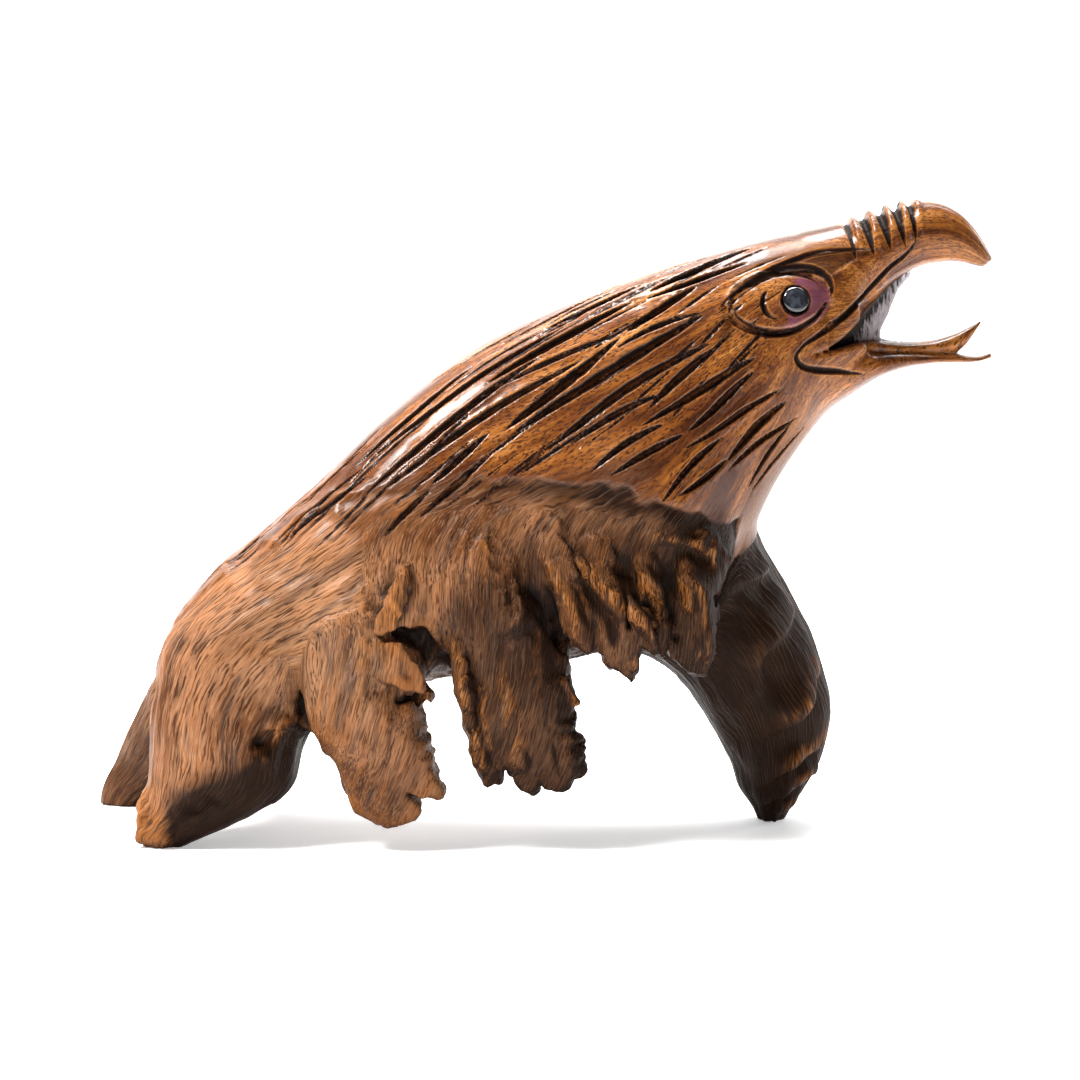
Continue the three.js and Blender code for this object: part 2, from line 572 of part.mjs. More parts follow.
const trunk = new Limb(TRUNK_RIBS, { power: 2.15, swells: TRUNK_SWELLS });
const upperBeak = new Limb(UPPER_BEAK_RIBS, { power: 2.1 });
const lowerJaw = new Limb(LOWER_JAW_RIBS);
const tongue = new Limb(TONGUE_RIBS, { power: 2 });
const frontLeg = new Limb(FRONT_LEG_RIBS, { power: 2, ripple: { amount: 0.09, folds: 5, from: 0.27 } });
const rearFeet = [NEAR_REAR_FOOT_RIBS, FAR_REAR_FOOT_RIBS].map((ribs) => new Limb(ribs, { power: 2 }));
const roots = [...Object.values(NEAR_ROOTS), ...Object.values(FAR_ROOTS)].map(
  ({ ribs, notches }) => new Limb(ribs, { notches }),
);
const headLimbs = [trunk, upperBeak, lowerJaw];

// How many sections each limb has along it and round it.
const MADE = {
  trunk: [24, 21],
  upperBeak: [10, 12],
  lowerJaw: [7, 10],
  tongue: [8, 8],
  frontLeg: [15, 12],
  rearFoot: [8, 10],
  root: [6, 8],
};

let wood = solid(trunk.geometry(...MADE.trunk));
const growths = [
  solid(upperBeak.geometry(...MADE.upperBeak)),
  solid(lowerJaw.geometry(...MADE.lowerJaw)),
  solid(tongue.geometry(...MADE.tongue)),
  solid(frontLeg.geometry(...MADE.frontLeg)),
  ...rearFeet.map((foot) => solid(foot.geometry(...MADE.rearFoot))),
  ...roots.map((root) => solid(root.geometry(...MADE.root))),
  slab(MOUTH_WEB, -MOUTH.web, MOUTH.web),
];
for (const growth of growths) wood = wood.add(growth);
for (const outline of BROKEN_ENDS.outlines) {
  wood = wood.subtract(slab(outline, BROKEN_ENDS.side - BROKEN_ENDS.reach, BROKEN_ENDS.side));
}
for (const { outline, faces } of [STUB, FLAKE]) wood = wood.add(slab(outline, ...faces));
const beads = [];
for (const side of [-1, 1]) {
  wood = wood.subtract(mouthGap(side)).add(eyeball(headLimbs, side));
  for (const line of Object.values(FACE_LINES)) wood = wood.subtract(faceCutter(headLimbs, line, side));
  wood = wood.subtract(drop(headLimbs, side, EYE.gap));
  const gouges = side < 0 ? GOUGES : GOUGES.filter((_, i) => i % 3 < 1);
  for (const [i, gouge] of gouges.entries()) wood = wood.subtract(gougeCutter(trunk, gouge, i, side));
  beads.push(drop(headLimbs, side, 0));
}
for (const notch of CERE_NOTCHES) wood = wood.subtract(cereCutter([trunk, upperBeak], notch));
wood = wood.subtract(floorCutter());

const woodMaterial = new THREE.MeshStandardMaterial({ color: WOOD_COLOUR, roughness: 0.45, metalness: 0 });
const beadMaterial = new THREE.MeshStandardMaterial({ color: BEAD_COLOUR, roughness: 0.15, metalness: 0 });
const carving = new THREE.Group();
carving.position.set(-MIDDLE.x, -MIDDLE.y, 0);
carving.add(makeMesh("eagle_carving", geometryOf(wood), woodMaterial));
carving.add(makeMesh("right_eye_bead", geometryOf(beads[0]), beadMaterial));
carving.add(makeMesh("left_eye_bead", geometryOf(beads[1]), beadMaterial));
export default carving;
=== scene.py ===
"""An eagle's head and neck carved on gnarled root wood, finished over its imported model."""
import math

import bpy
import numpy as np
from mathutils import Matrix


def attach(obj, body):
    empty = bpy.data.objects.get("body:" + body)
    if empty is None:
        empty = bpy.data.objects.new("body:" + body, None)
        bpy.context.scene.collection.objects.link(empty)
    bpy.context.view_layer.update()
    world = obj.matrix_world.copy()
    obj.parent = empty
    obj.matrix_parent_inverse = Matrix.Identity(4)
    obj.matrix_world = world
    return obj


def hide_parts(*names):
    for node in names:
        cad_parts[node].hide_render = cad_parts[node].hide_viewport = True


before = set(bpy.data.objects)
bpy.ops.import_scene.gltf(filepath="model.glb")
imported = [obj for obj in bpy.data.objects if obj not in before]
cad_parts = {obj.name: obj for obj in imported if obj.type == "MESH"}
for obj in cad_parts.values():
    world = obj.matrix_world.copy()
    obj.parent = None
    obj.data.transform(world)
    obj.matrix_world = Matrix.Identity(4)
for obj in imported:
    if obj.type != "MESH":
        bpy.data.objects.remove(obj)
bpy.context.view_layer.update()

import openvdb
from mathutils import Vector

bl_info = {
    "name": "Carved eagle head",
    "version": (1, 0, 0),
    "blender": (4, 5, 0),
    "location": "3D View > Sidebar > Eagle head",
    "description": "Builds the carved root wood, the eye beads and the studio of the eagle head carving",
    "category": "Add Mesh",
}

# Sizes are in millimetres, X the way the beak points, Y the bird's left and Z up, with the origin at
# the middle of the ribs below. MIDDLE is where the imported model's own origin lies among them.
MIDDLE = np.array([-1.34, -2.19, 0.0])
MM = 0.001
EYE = {"x": 88.4, "z": 189.4, "radius": 4.5, "dome": 1.3, "sink": 3.0, "stand": 1.1}
EYEBALL = {"x": 83.2, "z": 189.3, "half_length": 17.8, "half_height": 10.6, "rise": 2.9}

# A rib is two outline points of one cross-section in the side view, (x, z) and (x, z), then the y of
# its middle and its half thickness along y.
TRUNK_RIBS = [
    (-137, 52, -128, 42, -4, 10), (-134, 66, -112, 40, -3, 27), (-126, 80, -95, 40, -2, 37),
    (-110, 97, -74, 44, 0, 42), (-84, 119, -44, 52, 0, 44), (-55, 147, -10, 57, 0, 44),
    (-24, 170.5, 24, 63, 0, 42), (9, 186.5, 52, 76, 0, 39.5), (38, 197.5, 71, 98, 0, 36),
    (62, 205, 84, 124, 0, 32), (83, 210.5, 98.5, 145, 0, 27), (97, 212.6, 110.5, 155, 0, 21.5),
    (105, 213.6, 117, 160, 0, 16.5),
]
# A swell is a share of the trunk's length, degrees round from the crest on the near side (on the far
# side when negative) and how far the trunk swells out there.
TRUNK_SWELLS = [
    (0.3, 112, 6), (0.43, 114, 7), (0.59, 110, 9), (0.3, -116, 6), (0.46, -112, 6), (0.6, -116, 6),
]
UPPER_BEAK_RIBS = [
    (94, 211, 92, 176, 0, 18), (106, 214.5, 106, 177, 0, 17.5), (114, 218, 116, 186, 0, 15.5),
    (124, 221, 125, 194.5, 0, 13.2), (133, 223, 134, 199.8, 0, 11), (141, 222.4, 142, 201.6, 0, 9.2),
    (148, 219, 148.5, 201.6, 0, 7.4), (153.5, 213.5, 153.5, 200.4, 0, 5.4),
    (157.5, 207.5, 156.5, 200, 0, 3.4), (160, 202.8, 158.4, 201.4, 0, 1.2),
]
LOWER_JAW_RIBS = [
    (94, 170.5, 100, 152, 0, 18), (106, 170.6, 110, 156, 0, 16.5), (116, 170.8, 119, 160.4, 0, 14),
    (127, 170.6, 128, 163.8, 0, 11.2), (138, 170, 138.5, 165.6, 0, 8.6), (148, 169.2, 148, 166, 0, 6),
    (155, 168.4, 155, 166.4, 0, 3.8), (159.8, 169.6, 160.2, 167.8, 0, 1.6),
]
TONGUE_RIBS = [
    (104, 177, 104, 168, 0, 10), (116, 175.6, 116, 169, 0, 9), (128, 173.8, 128, 169, 0, 7.6),
    (138, 174, 138, 169, 0, 6), (146, 176, 145.5, 169.2, 0, 4.8), (151, 178.2, 150, 171.4, 0, 3.6),
    (154.4, 180, 153.2, 175.4, 0, 2.2), (157, 181.6, 156.4, 180.6, 0, 0.7),
]
FRONT_LEG_RIBS = [
    (50, 124, 12, 78, 4, 26), (73, 108, 30, 66, 5, 28), (84, 93, 45, 57, 6, 27), (94, 75, 55, 46, 7, 25),
    (101.5, 57, 63, 34, 7, 22), (104, 40, 69, 23, 7, 18), (101.5, 24, 72, 14, 7, 14),
    (96, 13, 74.2, 9.5, 7, 11), (90.8, 5.5, 77.8, 4.5, 7, 8), (86, -3, 81, -3, 7, 5),
]
NEAR_REAR_FOOT_RIBS = [
    (-112, 92, -62, 60, -10, 30), (-129, 70, -76, 46, -17, 30), (-135, 50, -84, 33, -24, 26),
    (-136.5, 33, -88, 20, -29, 21), (-137, 19, -100, 11, -33, 15), (-138.5, 10, -113, 5, -35, 11),
    (-139, 3, -124, 0.5, -36, 8), (-137, -6, -129, -6, -36, 5.5),
]
FAR_REAR_FOOT_RIBS = [
    (-106, 94, -58, 58, 8, 30), (-125, 74, -82, 48, 16, 28), (-141, 48, -100, 32, 25, 23),
    (-149, 32, -112, 18, 30, 18), (-156, 18, -124, 8, 34, 13), (-162, 7, -137, 1, 36, 9),
    (-163, -2, -146, -5, 37, 6),
]
# Each hanging root has its ribs and the notches of its broken end: a place across it from -1 to 1,
# then how deep and how wide the notch is.
NEAR_ROOTS = {
    "back": (
        [
            (-30, 114, -84, 110, -12, 18), (-42, 92, -83, 90, -21, 20), (-48, 75, -81, 74, -31, 18.5),
            (-44, 58, -80.5, 57, -37, 16.5), (-39, 43, -78.5, 42, -40, 14.5), (-36, 32, -72, 29, -41, 12),
            (-31, 23, -67, 17, -42, 9.5), (-31, 15, -63, 5, -42, 6),
        ],
        [],
    ),
    "middle": (
        [
            (8, 120, -44, 118, -10, 18), (3, 99, -40, 101, -21, 19.5), (7, 81, -33.5, 82, -31, 17.5),
            (9.5, 65, -29, 65, -36, 15), (12.5, 50, -26.5, 50, -39, 13), (15.5, 38, -24, 37, -41, 11),
            (17, 29, -22, 28, -42, 9), (17, 18, -20, 17, -42, 6),
        ],
        [],
    ),
    "front_finger": (
        [
            (22, 116, -4, 112, -24, 14), (17, 99, 2.5, 94, -36, 11), (17.5, 86, 6, 82, -41, 8.5),
            (19.5, 77, 9, 75, -43, 7), (20.5, 67, 11, 66, -43, 5),
        ],
        [],
    ),
    "front": (
        [
            (44, 122, 6, 114, -16, 20), (35, 100, 13, 92, -33, 14.5), (35, 84, 17, 80, -40, 11.5),
            (34.5, 71, 19.5, 71, -42, 9), (34.5, 62, 21.5, 63, -42, 7), (35, 55.5, 24, 56.5, -42, 5),
        ],
        [],
    ),
    "front_thumb": (
        [
            (44, 116, 26, 108, -21, 14), (40, 96, 26, 90, -38, 10.5), (43, 83, 31, 80, -44.5, 8.5),
            (45, 75, 35, 73, -46, 6.5), (45, 66, 36, 66.5, -46, 5),
        ],
        [],
    ),
    "chest": (
        [
            (64, 122, 36, 118, -14, 16), (66, 104, 38, 101, -25, 15), (62.5, 90, 43, 86, -34, 13),
            (61.5, 77, 46, 75, -37, 10.5), (60.5, 67, 45.5, 66, -38, 9), (60, 57.5, 48, 58.5, -38, 6.5),
        ],
        [],
    ),
}
FAR_ROOTS = {
    "back": (
        [
            (-30, 116, -84, 108, 14, 20), (-48, 90, -86, 84, 24, 20), (-56, 70, -86, 64, 33, 16.5),
            (-62, 52, -86, 48, 37, 12.5), (-68, 39, -84, 36, 39, 8.5), (-72, 31, -81, 30, 39, 4),
        ],
        [],
    ),
    "middle": (
        [
            (22, 122, -34, 122, 14, 20), (14, 98, -28, 98, 25, 19), (12, 77, -22, 76, 33, 15.5),
            (10, 59, -17, 57, 38, 12), (8, 44, -12, 43, 40, 8.5), (4, 36, -8, 36, 40, 4),
        ],
        [(-0.2, 5, 0.4)],
    ),
    "front": (
        [
            (66, 122, 24, 120, 14, 20), (60, 99, 28, 95, 23, 19.5), (57, 83, 34, 79, 29, 17),
            (54, 70, 39, 68, 31, 13.5), (50, 62.5, 43, 62, 32, 9),
        ],
        [],
    ),
}
# A gouge runs from a tail end to a head end. Each end is a share of the trunk's length and degrees
# round from the crest. Then come its bow in degrees and its size.
GOUGES = [
    (0.2, 14, 0.29, 11, 0, 0.8), (0.3, 16, 0.4, 21, -1, 0.8), (0.29, 33.5, 0.39, 33.5, -2.5, 0.9),
    (0.31, 37, 0.39, 40.5, -0.5, 0.9), (0.38, 28.5, 0.5, 22, 1.5, 1), (0.39, 32.5, 0.58, 26, 3, 0.9),
    (0.46, 10, 0.56, 9, 3.5, 0.7), (0.52, 18, 0.64, 6, 1.5, 0.7), (0.56, 22, 0.66, 17, 1.5, 0.9),
    (0.375, 48.5, 0.55, 37.5, 1.5, 1), (0.5, 37.5, 0.645, 29, 0, 1.2), (0.39, 53.5, 0.585, 47.5, 0, 1),
    (0.51, 42, 0.62, 43.5, -1, 0.8), (0.5, 60, 0.62, 45.5, 1, 1.3), (0.625, 44.5, 0.715, 36, 0, 1.1),
    (0.66, 26.5, 0.8, 15, 1.5, 1.3), (0.655, 31, 0.785, 32.5, 0.5, 0.9), (0.61, 49.5, 0.71, 52, -2.5, 0.8),
    (0.5, 63, 0.715, 53.5, -1.5, 1.4), (0.43, 64, 0.49, 57.5, 0, 1), (0.38, 71, 0.43, 65, 0, 0.8),
    (0.41, 73, 0.49, 64.5, 0, 0.9), (0.525, 73.5, 0.71, 67.5, -4.5, 1.2), (0.545, 75, 0.64, 74.5, -2, 0.9),
    (0.62, 77, 0.718, 70.5, -1.5, 1.1), (0.61, 80.5, 0.765, 86, -1.5, 1.1),
    (0.55, 85.5, 0.635, 84, -2, 0.9),
    (0.565, 88.5, 0.65, 90, -1, 0.9), (0.65, 90, 0.757, 90, 0, 1), (0.64, 93, 0.79, 107.5, -1.5, 0.8),
    (0.6, 101, 0.69, 100, -2, 0.9), (0.62, 102.5, 0.69, 108.5, 0, 0.9), (0.685, 109, 0.79, 115.5, -1, 1.2),
    (0.68, 111.5, 0.8, 132, -2, 0.8), (0.7, 130, 0.79, 130.5, 0, 0.8), (0.7, 134, 0.81, 147, 0, 0.7),
]
# Lines cut on each side of the head as (x, z) points of the side view, then half width and depth. A
# negative depth is a ridge.
FACE_LINES = {
    "beak_edge": (
        [
            (131.6, 211.6), (131, 208.5), (127.3, 204.1), (122.4, 200.4), (118.4, 196), (113.6, 191),
            (109.8, 187),
            (104.2, 182.4), (97.6, 177.8), (91.2, 173.8), (88.9, 170.4),
        ],
        1.3, 1.7,
    ),
    "jaw_edge": (
        [
            (91.2, 173.6), (88.9, 170.9), (89.2, 168.2), (92.2, 166), (98, 164.9), (104.6, 164.3),
            (113.8, 163),
        ],
        1.2, 1.3,
    ),
    "upper_lid": (
        [
            (65.6, 188.4), (66.3, 190.8), (69.1, 193.1), (72.6, 195.1), (78.6, 198.3), (83.8, 199.9),
            (89.4, 200.5),
            (95, 199.8), (99.4, 197.4), (101.4, 193.4), (100.8, 190),
        ],
        1.9, 2.5,
    ),
    "lower_lid": (
        [
            (65.8, 190), (65.9, 187), (66.9, 184), (70.5, 181), (76.2, 178.8), (82.2, 178.3), (88.3, 179.6),
            (92.8, 181.9), (97.4, 185.4), (100.6, 189.6),
        ],
        1.5, 1.9,
    ),
    "iris": (
        [(78.8, 193.4), (77.4, 190.8), (77.0, 188.4), (77.8, 185.6), (80, 183.4), (83.4, 182.8)],
        1.1, 1.5,
    ),
    "brow": (
        [
            (74, 197.6), (79.5, 200), (83.8, 201.7), (88.5, 203.4), (93.7, 204.8), (99.3, 205.7),
            (107.9, 206.6), (115, 206.8),
        ],
        1.0, 0.9,
    ),
}
# The hollow over the eye, which gets painted shade, and the dull facet over that, between (x, z) lines of
# the side view.
BROW_LINE = [
    (78, 199.4), (83.8, 201.7), (88.5, 203.4), (93.7, 204.8), (99.3, 205.7), (107.9, 206.6), (116, 207),
]
HOLLOW_LINE = [
    (78, 199), (89, 200.6), (95, 199.8), (101.5, 198.3), (105, 200.4), (109.2, 203.2), (116, 205.4),
]
FACET_LINE = [(76, 205), (79, 208.2), (90.6, 210.2), (103.6, 209.2), (112, 207.2)]
# The recess under the upper lid: how far down it reaches, its two ends and its depth.
LID_RECESS = {"down": 20, "back": 62, "front": 104, "depth": 2.8}
# The two ends of the hollow over the eye and its depth, and the two ends of the dull facet.
BROW_HOLLOW = {"back": 78, "front": 121, "depth": 0.9}
FACET_ENDS = {"back": 77, "front": 113}
# The small mound at the back corner of the eye, and the slanting line where the red stain begins.
EYE_CORNER = {"x": 70.6, "z": 188.4, "half_length": 7.0, "half_height": 6.8, "rise": 1.2}
STAIN_EDGE = {"x": 84.5, "z": 183, "slant": 0.3}
# The part of the near face where the mesh is thinned less.
FACE_PATCH = {"x": 98, "half_length": 38, "low": 172}
# A notch over the top of the beak: its x, how far it leans forward, half width and depth.
CERE_NOTCHES = [
    (107.6, 3, 1.3, 1.1), (113.6, 3.2, 1.7, 2.2), (119.6, 3.2, 1.8, 2.5), (124.9, 3, 1.7, 2.5),
    (129.8, 2.0, 1.3, 2.0),
]
# The crest of the beak under the notches, how steeply it climbs and how far down its sides they run.
NOTCH_CREST = {"x": 104, "z": 213.8, "slope": 0.3, "top": 0.4, "drop": 12.5}
# The lump in front of each notch: how far ahead and above it lies, its half width and its height.
LUMP = {"ahead": 2.9, "above": 0.9, "half_width": 2.3, "height": 1.3}
# The gap of the mouth beside the tongue, as (x, z) points, and half of what is left between its sides.
MOUTH_OUTLINE = [
    (95, 170.6), (103, 172), (111, 173.6), (119, 174.4), (136, 174.4), (136, 199.8), (129, 197),
    (123, 193), (117.6, 187.4), (112, 181.6), (106, 176), (100, 172),
]
MOUTH_CORE = 4.5
# The web at the back of the mouth, as (x, z) points, and half its thickness.
MOUTH_WEB = [
    (104, 170), (112, 171), (119.6, 173), (120.4, 178), (123, 183.3), (124.6, 187.7), (126.4, 192.2),
    (131, 197.6),
    (126, 200), (116, 190), (106, 178),
]
MOUTH_WEB_HALF = 4.2
# The web's wall in the mouth: half its thickness and its box in the side view. Its pale front part
# begins at a slanting line; behind that line the wall gets painted shade.
MOUTH_WALL = {"half": 5.6, "back": 94, "front": 134, "low": 173, "high": 202}
PALE_WEB = {"x": 112, "z": 175, "slant": 0.72}
# Where the polished neck ends and the raw root wood begins on the flank, as (x, z) points.
POLISH_EDGE = [
    (-175, 40), (-140, 66), (-118, 90), (-100, 103), (-75, 116), (-48, 128), (-20, 129), (20, 129.5),
    (45, 121),
    (60, 114), (75, 112), (95, 118),
]
# The slanting line in front of which the trunk is throat, and stays polished.
THROAT = {"z": 115, "slant": 0.35, "starts": 66, "full": 74}
# The patch of painted sheen on the raw flank, and the heights between which painted shade darkens the neck.
SHEEN_PATCH = {"x": -78, "z": 74, "half_length": 40, "half_height": 36}
NECK_SHADE = {"top": 165, "bottom": 120}
# How far the edge of the polish fades out, in millimetres, from the tail to the chest.
POLISH_FADE = [(-110, 8), (-60, 6), (-30, 3), (10, 1.8), (90, 1.6)]
# How dark each limb is painted, from 0 to 1, and how dark the others are.
OTHER_DARKNESS = 0.18
DARKNESS = {
    "trunk": 0.0, "near_rear_foot": 0.04, "far_rear_foot": 0.5, "near_back": 0.06, "near_middle": 0.7,
    "near_front_finger": 0.5, "near_front": 0.6, "near_front_thumb": 0.66, "near_chest": 0.84,
    "front_leg": 1.0,
    "far_front": 0.5, "far_middle": 0.4,
}
# The valleys between the front leg's folds: where the second is along it, how far apart they are, how far
# they lean up to its front edge and how high the folds stand.
LEG_FOLDS = {"valley": 0.382, "spacing": 0.145, "lean": 0.05, "height": 4.4}
# Ridges and valleys of the near hanging roots: (x, z) points of the side view, half width and depth. The
# ridges have a negative depth and get a painted golden highlight, the valleys painted shade.
SIDE_FOLDS = [
    ([(-32.1, 79.1), (-28.2, 70.2), (-26.1, 56.8), (-23.3, 45.6), (-20.6, 34.4), (-17.6, 24.3)], 2.6, -1.5),
    ([(-21.1, 60.1), (-19.5, 51.2), (-18.4, 43.4), (-15.1, 34.4)], 1.5, -0.8),
    ([(1.9, 105), (6.1, 94.1), (10.9, 85.6), (13.3, 77.1), (15.8, 71.6)], 2.6, -1.6),
    ([(9.1, 103.8), (19.9, 94.1), (29.6, 85.6), (39.2, 78.3), (42.9, 72.2)], 4.0, -2.2),
    ([(34.5, 111.4), (46.6, 108.4), (56.3, 105.4), (61.7, 99.3), (61.2, 94.4)], 2.2, -1.2),
    ([(51.4, 98.3), (56.3, 87.3), (57.5, 77.6), (58.8, 65.3)], 2.6, -1.6),
    ([(24.7, 103.8), (34.4, 91.7), (40.4, 84.4), (44.6, 78.6)], 3.6, 2.6),
    ([(42.8, 101), (48.9, 90.1), (53, 82)], 2.4, 1.3),
    ([(13.6, 98), (20.2, 87), (24.6, 79), (26, 71)], 2.2, 1.6),
]
# How wide the painted shade of the face lines is, as a share of their width.
FACE_SHADE_WIDTH = 1.2
# The lit ledge across the near rear foot: the wood under it is painted dark, as dark wood and painted
# shade.
LEDGE_LINE = [(-131, 15), (-126.5, 18.4), (-112.6, 25.4), (-96.5, 31.2), (-87.3, 39), (-80, 46)]
# The hanging roots' fibres, as a shift along x at each height: how it bends above and below a level,
# and how far the fibres lean from upright.
FIBRES = {"level": 97, "above": 0.018, "below": 0.0027, "lean": 0.4}
# The hanging roots' broken ends: what each outline of the side view takes off the near side, as (x, z)
# points, beyond the y that comes first.
BROKEN_ENDS = [
    (-26, [
        (-78, 30), (-73.6, 33.1), (-69.6, 24.6), (-66.4, 17.2), (-64.3, 13.6), (-60.4, 12.2), (-57.6, 9.4),
        (-54.8, 8.9), (-51.6, 7.4), (-48.1, 8.3), (-44.8, 8.7), (-42.9, 10.9), (-41.4, 15), (-46.2, 19.6),
        (-46.6, 21), (-41.4, 18.6), (-39.1, 18.9), (-35.8, 18.1), (-32.6, 18.9), (-32.9, 21.6),
        (-34.9, 24.4),
        (-34.7, 27.3), (-36.9, 30.1), (-36.3, 33.1), (-38.4, 35.4), (-38.1, 37.7), (-40.1, 40.6),
        (-37.9, 42.6),
        (-40.4, 45.5), (-28, 44), (-27, -2), (-72, -2),
    ]),
    (-26, [
        (-27.6, 36), (-23.5, 32.1), (-21.9, 27.6), (-20.2, 25.3), (-18.6, 22.3), (-16.3, 22.9),
        (-13.6, 22.8),
        (-13.1, 27.6), (-11.8, 30.4), (-10.6, 27.9), (-9, 26.5), (-6.6, 21.6), (-4.8, 21.2), (-2.9, 19.7),
        (-0.9, 21.9), (-1.3, 24.8), (0.4, 23.9), (2.1, 22.3), (4.8, 21.9), (7.7, 20.6), (10.2, 20.9),
        (11, 22.5),
        (11.4, 25.2), (13.9, 26.1), (15.6, 28.2), (14.2, 30.4), (16, 32.2), (14.4, 34.3), (15.8, 36.6),
        (14.6, 39.4), (12.9, 41.6), (14.2, 44.2), (12.3, 47.1), (12.1, 50.2), (13.4, 52.1), (12.3, 55.2),
        (10.9, 58), (9.4, 60.8), (22, 60), (22, 10), (-27, 10),
    ]),
    (-26, [
        (9.6, 77.9), (11.4, 74.6), (12.2, 71.3), (14.1, 70.9), (15.8, 69.3), (17.9, 70.6), (19.8, 71.8),
        (20.6, 69.1),
        (22.5, 67.9), (22.6, 65.2), (23.9, 63.2), (25.7, 63.4), (27.3, 62.2), (29.2, 61.1), (31.9, 58.4),
        (32.2, 60.9), (33.4, 62.9), (33.4, 65.5), (34.6, 71.6), (36.9, 70.8), (39.3, 69.6), (42.3, 68.4),
        (43.6, 70.8), (44.6, 67.6), (47.1, 66.1), (49.3, 63.7), (51.9, 62.3), (54.2, 60.2), (56.2, 60.4),
        (57.8, 59.2),
        (58.6, 60.9), (59.9, 62.4), (66, 60), (62, 48), (14, 48), (13.4, 63), (10, 65.4), (8.6, 71),
    ]),
]
# The broken stub on the back root and the flake over it, which gets a pale painted highlight, in the same
# way, with the y of the near and far face of each.
STUB = ((-54, -34), [
    (-58, 69.6), (-56.6, 74.2), (-51.3, 74.0), (-47.6, 71.9), (-44.5, 70.6), (-42.6, 65.9), (-40.2, 61.3),
    (-40.4, 56.6),
    (-46.9, 57.4), (-53.7, 60.9), (-57.4, 64.6),
])
FLAKE = ((-53.4, -36), [
    (-45.6, 100.6), (-51.2, 93.6), (-54.3, 86.1), (-56.2, 77.9), (-53.1, 76.6), (-50.1, 78.2),
    (-47.9, 82.4), (-46.2, 87.4),
    (-45.1, 94.6),
])
# Small growths of the raw wood as tapered rods: start, end, the radius at each and how softly they join.
GROWTHS = [
    # The rim left of the broken stub and the splinters under it.
    ((-57, -44, 62), (-54, -45, 55), (2.2, 2.4), 2), ((-46, -36, 58), (-39, -42, 53), (4.6, 3.0), 2),
    # The lit ledge across the rear foot and the curled rims of its toe.
    ((-104, -39, 46), (-91, -42, 42), (2.6, 3.0), 4), ((-91, -42, 42), (-81, -38, 47), (3.0, 2.6), 3),
    ((-137, -36, 17), (-120, -45, 23), (1.8, 2.4), 4), ((-120, -45, 23), (-98, -45, 32), (2.4, 2.4), 5),
    ((-137.5, -37, 13), (-137, -42, 4), (3.0, 2.4), 1.5),
    ((-137, -41, 5), (-130, -44, 3.5), (2.6, 2.2), 1.5),
    ((-133, -42, 10), (-130, -44, 7), (2.0, 1.6), 1.5),
    # The long ridge and the two toes of the middle root.
    ((-31, -40, 82), (-25.5, -47, 57), (3.4, 3.2), 4), ((-25.5, -47, 57), (-21.5, -47, 31), (3.2, 2.6), 4),
    ((-12, -49, 60), (-7, -51, 32), (2.4, 2.0), 3), ((10, -44, 58), (14, -45, 50), (3.0, 1.6), 2),
    # The lip of the chest lobe, and a ridge down it.
    ((44, -36, 108), (57, -38, 107), (3.0, 3.4), 3), ((57, -38, 107), (62.5, -35, 101), (3.4, 3.0), 2.5),
    ((62.5, -35, 101), (61, -35, 92), (3.0, 2.2), 2), ((50, -43, 98), (54, -45, 70), (2.6, 2.6), 3),
    ((57, -42, 84), (58, -42, 66), (2.0, 2.4), 2.5),
    # The smoky knuckle above the fingers and their ridges.
    ((2, -40, 114), (9, -45, 98), (6.0, 4.6), 4), ((9, -45, 98), (13, -48, 82), (4.0, 2.6), 3),
    ((20, -44, 106), (28, -48, 84), (4.2, 3.2), 3.5), ((28, -48, 84), (32, -47, 66), (3.0, 2.0), 2.5),
    ((36, -44, 100), (39, -49, 84), (3.4, 3.0), 3),
    # Knuckles where the roots leave the trunk.
    ((-64, -42, 86), (-61, -46, 66), (5.0, 6.0), 8), ((-20, -43, 104), (-10, -48, 82), (4.0, 5.0), 8),
    ((-70, 44, 100), (-72, 47, 80), (6.0, 4.0), 6), ((-6, 43, 108), (-6, 46.5, 84), (6.0, 3.6), 6),
    ((42, 40, 106), (44, 46, 86), (5.0, 4.0), 5),
]
